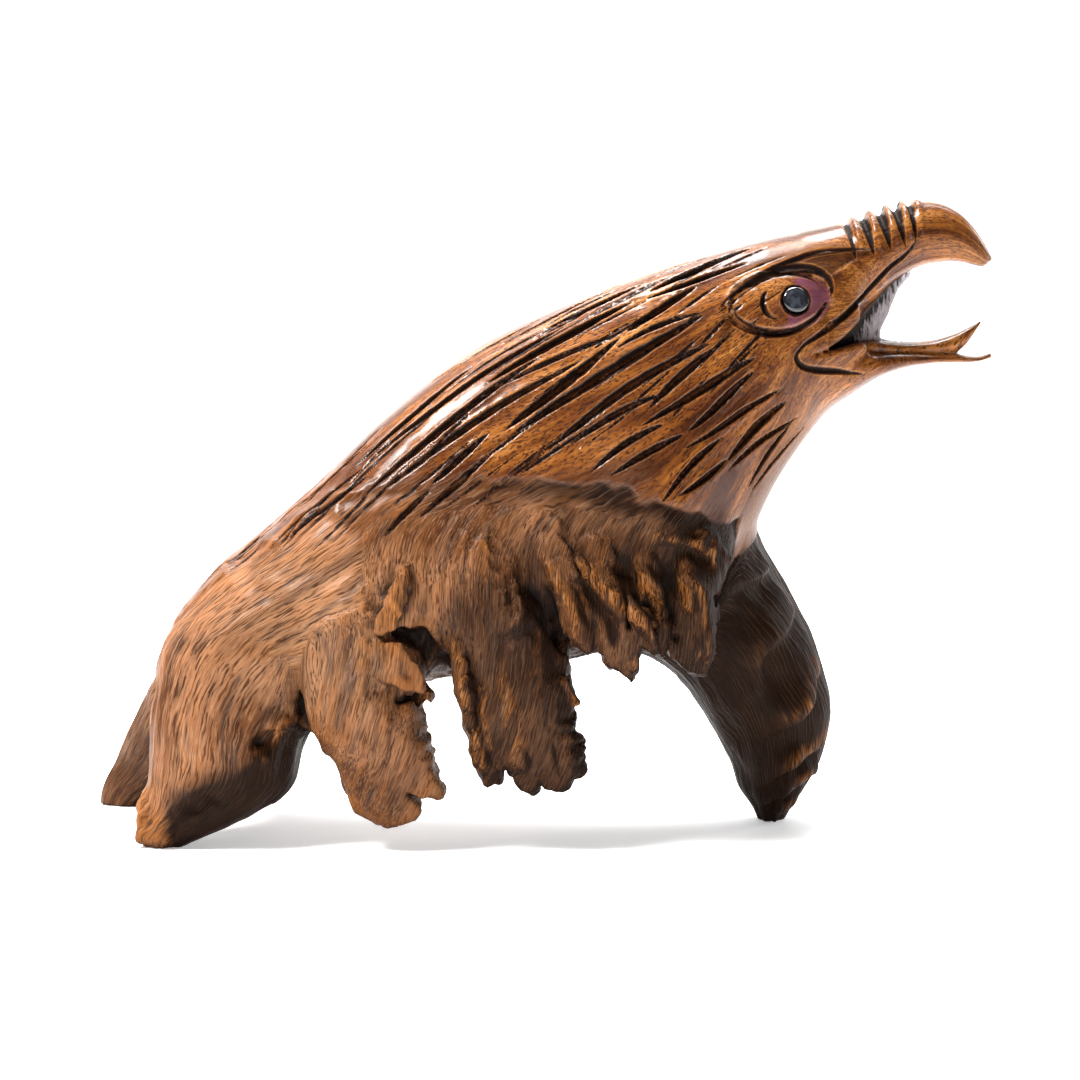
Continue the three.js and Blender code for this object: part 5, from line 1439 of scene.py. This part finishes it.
def wood_finish(colours):
    """Root wood: the neck and head polished amber with pores along the grain, the rest raw and fibrous,
    with painted highlights on lit edges, painted shade in its hollows, and the gouges almost black with
    painted shade."""
    wood = Finish("root_wood", Coat_Roughness=0.2, Coat_IOR=1.45, IOR=1.45, Specular_IOR_Level=0.07)
    *_, grain = wood.attribute("grain")
    *_, fibre = wood.attribute("fibre")
    gouge, raw, hollow, deep, _ = wood.attribute("marks")
    stain, ridge, throat, dark, _ = wood.attribute("touch")
    # crest marks a painted highlight, recess painted shade.
    crest, recess, mouth, rooted, _ = wood.attribute("golden")
    metres = wood.node("ShaderNodeTexCoord", {}, {}).outputs["Object"]
    place = wood.vector("MULTIPLY", metres, (1000, 1000, 1000))

    on_trunk, on_root = fibres(wood, grain), fibres(wood, fibre)
    grown = wood.between(rooted + (on_root[1] - 0.5) * 0.6, 0.4, 0.6)
    threads, strands, lines, smoke = (a + (b - a) * grown for a, b in zip(on_trunk, on_root))
    tone = wood.between(wood.grey(place, (26, 26, 26), 2.0), 0.38, 0.62)
    # From how crowded the wood is round each point: wear with a painted highlight on convex edges, and
    # painted shade in small and in large hollows.
    worn_and_lit = wood.between(hollow, 0.49, 0.36)
    sunk_shade = wood.between(hollow, 0.53, 0.70)
    deep_shade = wood.between(deep, 0.52, 0.78)

    x, _, z = wood.parts(place)
    # Painted sheen: a patch of the raw flank that faces the light is painted paler.
    away = ((x - SHEEN_PATCH["x"]) / SHEEN_PATCH["half_length"]) ** 2
    away = away + ((z - SHEEN_PATCH["z"]) / SHEEN_PATCH["half_height"]) ** 2
    painted_sheen = wood.between(away, 1.2, 0.0) * (1 - dark)
    raw_colour = wood.mix(tone + painted_sheen * 0.5, colours["raw_wood"], colours["raw_light"])
    raw_colour = wood.mix(painted_sheen * 0.22, raw_colour, colours["raw_pale"])
    raw_colour = wood.mix(wood.between(strands, 0.5, 0.34) * 0.5, raw_colour, colours["raw_dark"])
    raw_colour = wood.mix(wood.between(strands, 0.54, 0.7) * 0.3, raw_colour, colours["raw_orange"])
    raw_colour = wood.mix(wood.between(smoke, 0.53, 0.68) * 0.62, raw_colour, colours["smoke"])
    raw_colour = wood.mix(wood.between(threads, 0.47, 0.36) * 0.85, raw_colour, colours["raw_dark"])
    # Pale threads: pale fibres and their painted highlights.
    raw_colour = wood.mix(wood.between(threads, 0.54, 0.68) * 0.3, raw_colour, colours["raw_pale"])
    # Wear and a painted highlight turn convex edges and the grain's ridge tops orange.
    raw_colour = wood.mix((worn_and_lit * 0.4 + ridge * 0.2) * (1 - dark), raw_colour, colours["raw_orange"])
    # The darkness mixes towards near black, which stands for dark wood and for painted shade.
    shaded = wood.mix(threads * 0.75, colours["raw_groove"], colours["raw_dark"])
    raw_colour = wood.mix(dark * (1.14 - threads * 0.22), raw_colour, shaded)
    # Painted highlight: gold on lit crests.
    gold = wood.mix(wood.between(threads, 0.36, 0.56), colours["raw_dark"], colours["raw_orange"])
    gold = wood.mix(wood.between(threads, 0.56, 0.7) * 0.6, gold, colours["raw_pale"])
    raw_colour = wood.mix(crest * wood.between(strands, 0.36, 0.5) * 0.7, raw_colour, gold)
    # Painted shade in the hollow over the eye and at the back of the mouth.
    raw_colour = wood.mix(recess * 0.7, raw_colour, colours["raw_groove"])
    # Thin pale lines: painted highlights on the fibres.
    raw_colour = wood.mix(lines * (0.32 - dark * 0.25), raw_colour, colours["raw_pale"])
    # Painted shade in small and large hollows.
    raw_colour = wood.mix(sunk_shade * 0.9, raw_colour, colours["raw_groove"])
    raw_colour = wood.mix(deep_shade * 0.9, raw_colour, colours["raw_groove"])

    slow = wood.wander(grain, (30, 10, 10), (0, 1.0, 1.0))
    figure = wood.grey(slow, (34, 5.5, 5.5), 2.0, 0.5)
    streak = wood.grey(slow, (22, 1.0, 1.0), 2.0, 0.55)
    pores = wood.between(wood.grey(slow, (1.7, 0.34, 0.34), 0.5), 0.46, 0.37)
    # Painted shade: the neck is painted darker downwards.
    low = wood.between(z, NECK_SHADE["top"], NECK_SHADE["bottom"])
    neck_colour = wood.ramp(figure * 0.6 + streak * 0.4 + 0.03 - low * 0.09, [
        (0.38, colours["neck_dark"]), (0.48, colours["neck_wood"]), (0.58, colours["neck_gold"]),
        (0.72, colours["neck_pale"]),
    ])
    neck_colour = wood.mix(throat * 0.65, neck_colour, colours["throat"])
    neck_colour = wood.mix(pores * (0.8 - throat * 0.3), neck_colour, colours["neck_pore"])
    # Painted shade in the hollow over the eye, the back of the mouth and the hollows.
    dim_wood = wood.mix(streak, colours["raw_groove"], colours["neck_dark"])
    neck_colour = wood.mix(recess * 0.8, neck_colour, dim_wood)
    neck_colour = wood.mix(sunk_shade * 0.6, neck_colour, colours["neck_dark"])
    neck_colour = wood.mix(deep_shade * 0.9, neck_colour, colours["raw_groove"])
    neck_colour = wood.mix(stain * (1.3 - threads * 1.1), neck_colour, colours["stain"])
    # Dark streaks over the pale web, running into painted shade at its back.
    scratches = wood.grey(place, (0.7, 4.0, 3.2), 2.0)
    scratches = wood.between(scratches + mouth * 0.5, 0.66, 1.04)
    scratched = wood.mix(scratches, colours["raw_groove"], colours["mouth"])
    neck_colour = wood.mix(wood.between(mouth, 0, 0.3), neck_colour, scratched)

    colour = wood.mix(raw, neck_colour, raw_colour)
    # A painted highlight along the gouges' rims, painted shade on their slopes and near-black painted shade
    # in their cores.
    edge = gouge + 0.1 * (streak - 0.5)
    rim = wood.between(edge, 0.5, 0.6) * wood.between(edge, 0.7, 0.64) * (1 - raw)
    colour = wood.mix(rim * 0.28, colour, colours["neck_pale"])
    colour = wood.mix(wood.between(edge, 0.65, 0.75) * 0.85, colour, colours["gouge"])
    core = wood.between(edge, 0.77, 0.89)
    colour = wood.mix(core * 0.95, colour, colours["raw_groove"])
    wood.feed(wood.shader.inputs["Base Color"], colour)

    polished = (1 - raw) * (1 - core)
    rough = 0.55 - polished * (0.22 - throat * 0.16) - threads * 0.1 * raw
    wood.feed(wood.shader.inputs["Roughness"], rough)
    wood.feed(wood.shader.inputs["Coat Weight"], polished * (0.45 - throat * 0.3) + raw * (1 - dark) * 0.05)
    rough_height = threads * 0.5 + strands * 0.32 + lines * 0.36
    smooth_height = streak * 0.07 - pores * 0.10
    wood.bump(raw * rough_height + (1 - raw) * smooth_height + core * threads * 0.1)
    return wood.material


def bead_finish(colours):
    """A glossy bead, slate with faint clouds, its rim darkened by painted shade."""
    bead = Finish("eye_bead", Roughness=0.12, Coat_Weight=0.6, Coat_Roughness=0.05, IOR=1.5)
    rim, *_ = bead.attribute("rim")
    place = bead.node("ShaderNodeTexCoord", {}, {}).outputs["Object"]
    clouds = bead.grey(place, (0.002, 0.002, 0.002), 3.0)
    slate = bead.mix(bead.between(clouds, 0.35, 0.65), colours["bead"], colours["bead_light"])
    rimmed = bead.mix(bead.between(rim, 0.62, 0.95), slate, colours["bead_rim"])
    bead.feed(bead.shader.inputs["Base Color"], rimmed)
    return bead.material


def plain_finish(name, colour, roughness, glow):
    """A plain material for the studio, which glows a little so that shadows on it stay pale."""
    settings = {"Base_Color": (*colour, 1.0), "Roughness": roughness, "Emission_Strength": glow}
    return Finish(name, Emission_Color=(1.0, 1.0, 1.0, 1.0), **settings).material


def make_bead(name, side, trunk):
    """A bead turned about the skin's normal: its radius is drawn by a superellipse, so that it has a flat
    back, an upright rim and a low dome."""
    x, z = np.array([EYE["x"]]), np.array([EYE["z"]])
    v, angle = trunk.on_skin(x, z, side)
    seat = trunk.point(v, angle)[0]
    step = 1e-3
    along = trunk.point(v + step, angle)[0] - trunk.point(v - step, angle)[0]
    around = trunk.point(v, angle + step)[0] - trunk.point(v, angle - step)[0]
    axis = np.cross(along, around)
    axis *= np.sign(axis[1] * side) / np.linalg.norm(axis)
    seat = seat + axis * EYE["stand"]
    across = np.cross(axis, [0, 0, 1])
    across /= np.linalg.norm(across)
    up = np.cross(axis, across)
    rise = np.linspace(0, math.pi / 2, 15)
    radii = EYE["radius"] * np.concatenate([[0.85, 0.98], squared(np.cos(rise), 2.3)])
    heights = np.concatenate([[-EYE["sink"], -EYE["sink"] + 0.4], EYE["dome"] * squared(np.sin(rise), 2.0)])
    radii[-1] = 0.02
    turn = 2 * np.pi * np.arange(64) / 64
    ring = np.cos(turn)[:, None] * across + np.sin(turn)[:, None] * up
    points = seat + radii[:, None, None] * ring + heights[:, None, None] * axis
    rows, columns = len(radii), len(turn)
    i, j = np.meshgrid(np.arange(rows - 1), np.arange(columns), indexing="ij")
    k = (j + 1) % columns
    quads = np.stack([i * columns + j, (i + 1) * columns + j, (i + 1) * columns + k, i * columns + k], -1)
    points = np.concatenate([points.reshape(-1, 3), [seat - axis * EYE["sink"], seat + axis * EYE["dome"]]])
    j, k = np.arange(columns), (np.arange(columns) + 1) % columns
    last, back, top = (rows - 1) * columns, len(points) - 2, len(points) - 1
    quads = quads.reshape(-1, 4)
    fans = [np.stack([j, k, 0 * j + back], -1), np.stack([last + k, last + j, 0 * j + top], -1)]
    triangles = np.concatenate([quads[:, [0, 1, 2]], quads[:, [0, 2, 3]], *fans])
    mesh = new_mesh(name, to_frame(points), triangles)
    if signed_volume(points, triangles) < 0:
        mesh.flip_normals()
    # The rim attribute grows to the bead's edge and is 1 on its sunk back: there painted shade darkens the
    # bead.
    rim = np.concatenate([np.repeat(radii / EYE["radius"], columns), [1, 0]])
    rim = np.where(np.concatenate([np.repeat(heights, columns), [-1, 1]]) < 0, 1, rim)
    paint(mesh, "rim", "FLOAT_COLOR", np.stack([rim, rim, rim, 1 + 0 * rim], -1))
    piece = bpy.data.objects.new(name, mesh)
    bpy.context.scene.collection.objects.link(piece)
    return piece


def signed_volume(points, triangles):
    """A closed mesh's volume: a sixth of the sum of its corners' triple products."""
    a, b, c = (points[triangles[:, k]] for k in range(3))
    return (a * np.cross(b, c)).sum() / 6


def make_floor():
    """A pale floor that bends up behind: a line, a quarter circle and a line, drawn along x."""
    half, front, back, bend, height, steps = 4.0, -3.0, 2.4, 1.2, 3.5, 24
    turn = np.linspace(0, math.pi / 2, steps)
    depth = np.concatenate([[front], back + bend * np.sin(turn), [back + bend]])
    rise = np.concatenate([[0], bend * (1 - np.cos(turn)), [height]])
    profile = np.stack([depth, rise], -1)
    x = np.array([-half, half])
    points = np.stack([np.repeat(x, len(profile)), *np.tile(profile, (2, 1)).T], -1)
    i = np.arange(len(profile) - 1)
    n = len(profile)
    faces = np.stack([i, n + i, n + i + 1, i + 1], -1)
    floor = bpy.data.objects.new("studio_floor", new_mesh("studio_floor", points, faces))
    bpy.context.scene.collection.objects.link(floor)
    return floor


def make_light(name, place, aim, size, power, colour):
    """A soft rectangular light at a place, turned to its aim."""
    data = bpy.data.lights.new(name, "AREA")
    data.shape = "RECTANGLE"
    data.size, data.size_y = size
    data.energy = power
    data.color = colour
    lamp = bpy.data.objects.new(name, data)
    lamp.location = place
    lamp.rotation_euler = (Vector(aim) - Vector(place)).to_track_quat("-Z", "Y").to_euler()
    bpy.context.scene.collection.objects.link(lamp)


def make_camera():
    """The camera at the photograph's height and distance, aimed level with the middle of the carving."""
    data = bpy.data.cameras.new("camera")
    data.sensor_width = SENSOR
    data.lens = SENSOR * VIEW_DISTANCE / VIEW_WIDTH
    tilt = math.radians(VIEW_ELEVATION)
    aim = to_frame(np.array([0, 0, VIEW_AIM_Z]))
    camera = bpy.data.objects.new("camera", data)
    camera.location = Vector(aim) + VIEW_DISTANCE * Vector((0, -math.cos(tilt), math.sin(tilt)))
    camera.rotation_euler = (math.pi / 2 - tilt, 0, 0)
    bpy.context.scene.collection.objects.link(camera)
    bpy.context.scene.camera = camera


def colour(name, value, description):
    """A colour a user can change."""
    return bpy.props.FloatVectorProperty(
        name=name, description=description, subtype="COLOR", size=3, min=0, max=1, default=value
    )


class EagleHeadSizes(bpy.types.PropertyGroup):
    """The sizes of the carving."""

    cell: bpy.props.FloatProperty(
        name="Cell", description="Side of the cells that the wood is built from",
        default=0.0007, unit="LENGTH", precision=5, min=0.0004, max=0.003,
    )
    triangles: bpy.props.IntProperty(
        name="Triangles", description="How many triangles the wood is thinned to", default=196000, min=5000
    )
    gouge_depth: bpy.props.FloatProperty(
        name="Gouge depth", description="Depth of a middling feather gouge",
        default=0.0022, unit="LENGTH", precision=5,
    )
    lump_height: bpy.props.FloatProperty(
        name="Lump height", description="Height of the raw wood's lumps",
        default=0.0008, unit="LENGTH", precision=5,
    )
    fibre_height: bpy.props.FloatProperty(
        name="Fibre height", description="Height of the raw wood's fibres",
        default=0.00032, unit="LENGTH", precision=5,
    )


class EagleHeadColours(bpy.types.PropertyGroup):
    """The colours of the carving."""

    # Near black: painted shade in hollows, recesses and gouges, and the darkest wood.
    raw_groove: colour("Raw groove", (0.0055, 0.0028, 0.0018), "Hollows and the bottoms of gouges")
    # Painted shade on the slopes of the gouges.
    gouge: colour("Gouge", (0.045, 0.013, 0.0042), "The slopes of the gouges")
    raw_dark: colour("Raw dark", (0.027, 0.0098, 0.0040), "Dark fibres of the raw wood")
    raw_wood: colour("Raw wood", (0.100, 0.0365, 0.0150), "The raw wood")
    raw_light: colour("Raw light", (0.26, 0.116, 0.056), "Lighter patches of the raw wood")
    # Pale fibres, and the painted highlights and sheen of the raw wood.
    raw_pale: colour("Raw pale", (0.47, 0.26, 0.135), "The palest fibres")
    # Orange fibres and worn edges, and the painted highlight on convex edges, ridges and crests.
    raw_orange: colour("Raw orange", (0.29, 0.098, 0.018), "Worn edges of the raw wood")
    smoke: colour("Smoke", (0.042, 0.029, 0.028), "Smoky streaks")
    neck_dark: colour("Neck dark", (0.056, 0.0140, 0.0036), "Dark figure of the polished neck")
    neck_wood: colour("Neck wood", (0.140, 0.0400, 0.0075), "The polished neck")
    neck_gold: colour("Neck gold", (0.270, 0.0880, 0.0150), "Light figure of the polished neck")
    # The palest figure, and the painted highlight on the gouges' rims.
    neck_pale: colour("Neck pale", (0.450, 0.190, 0.050), "The palest figure")
    neck_pore: colour("Neck pore", (0.030, 0.009, 0.0035), "Pores of the polished wood")
    throat: colour("Throat", (0.145, 0.060, 0.025), "The duller throat")
    mouth: colour("Mouth", (0.42, 0.37, 0.39), "The pale inside of the mouth")
    stain: colour("Stain", (0.150, 0.0430, 0.0780), "The stain round the bead")
    bead: colour("Bead", (0.016, 0.018, 0.024), "The eye bead")
    bead_light: colour("Bead light", (0.045, 0.052, 0.064), "Clouds in the eye bead")
    # Painted shade round the bead's rim.
    bead_rim: colour("Bead rim", (0.006, 0.006, 0.008), "The rim of the eye bead")


def settings_of(group, names):
    """The named colours of a group as plain tuples."""
    return {name: tuple(getattr(group, name)) for name in names}


class EAGLE_OT_carving(bpy.types.Operator):
    """Builds the carved root wood"""

    bl_idname = "eagle.carving"
    bl_label = "Carved wood"

    def execute(self, context):
        piece = make_carving(context.scene.eagle_sizes)
        piece.data.materials.append(wood_finish(settings_of(context.scene.eagle_colours, WOOD_COLOURS)))
        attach(piece, "root")
        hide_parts("eagle_carving")
        return {"FINISHED"}


class EAGLE_OT_beads(bpy.types.Operator):
    """Builds the two eye beads"""

    bl_idname = "eagle.beads"
    bl_label = "Eye beads"

    def execute(self, context):
        trunk = make_limbs()["trunk"]
        finish = bead_finish(settings_of(context.scene.eagle_colours, BEAD_COLOURS))
        for name, side in (("right_eye", -1), ("left_eye", 1)):
            piece = make_bead(f"{name}_glass", side, trunk)
            piece.data.materials.append(finish)
            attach(piece, "root")
            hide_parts(f"{name}_bead")
        return {"FINISHED"}


class EAGLE_OT_studio(bpy.types.Operator):
    """Builds the floor, the lights and the camera"""

    bl_idname = "eagle.studio"
    bl_label = "Studio"

    def execute(self, context):
        floor = make_floor()
        floor.data.materials.append(plain_finish("pale_floor", FLOOR_COLOUR, 0.8, FLOOR_GLOW))
        for lamp in LAMPS:
            make_light(*lamp)
        world = bpy.data.worlds.new("studio_air")
        world.use_nodes = True
        world.node_tree.nodes["Background"].inputs["Color"].default_value = (1, 1, 1, 1)
        world.node_tree.nodes["Background"].inputs["Strength"].default_value = AIR_STRENGTH
        context.scene.world = world
        context.scene.view_settings.view_transform = "Standard"
        make_camera()
        return {"FINISHED"}


class EAGLE_PT_sidebar(bpy.types.Panel):
    """The carving's operators, sizes and colours"""

    bl_idname = "EAGLE_PT_sidebar"
    bl_label = "Eagle head"
    bl_space_type = "VIEW_3D"
    bl_region_type = "UI"
    bl_category = "Eagle head"

    def draw(self, context):
        for operator in OPERATORS:
            self.layout.operator(operator.bl_idname)
        for group in (context.scene.eagle_sizes, context.scene.eagle_colours):
            for name in type(group).__annotations__:
                self.layout.prop(group, name)


WOOD_COLOURS = [name for name in EagleHeadColours.__annotations__ if not name.startswith("bead")]
BEAD_COLOURS = [name for name in EagleHeadColours.__annotations__ if name.startswith("bead")]
OPERATORS = (EAGLE_OT_carving, EAGLE_OT_beads, EAGLE_OT_studio)
CLASSES = (EagleHeadSizes, EagleHeadColours, *OPERATORS, EAGLE_PT_sidebar)


def register():
    """Adds the classes and the scene's settings."""
    for made in CLASSES:
        bpy.utils.register_class(made)
    bpy.types.Scene.eagle_sizes = bpy.props.PointerProperty(type=EagleHeadSizes)
    bpy.types.Scene.eagle_colours = bpy.props.PointerProperty(type=EagleHeadColours)


def unregister():
    """Takes them away again."""
    del bpy.types.Scene.eagle_sizes, bpy.types.Scene.eagle_colours
    for made in reversed(CLASSES):
        bpy.utils.unregister_class(made)


def main():
    register()
    for build in (bpy.ops.eagle.studio, bpy.ops.eagle.carving, bpy.ops.eagle.beads):
        build()
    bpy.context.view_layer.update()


if __name__ == "__main__":
    main()
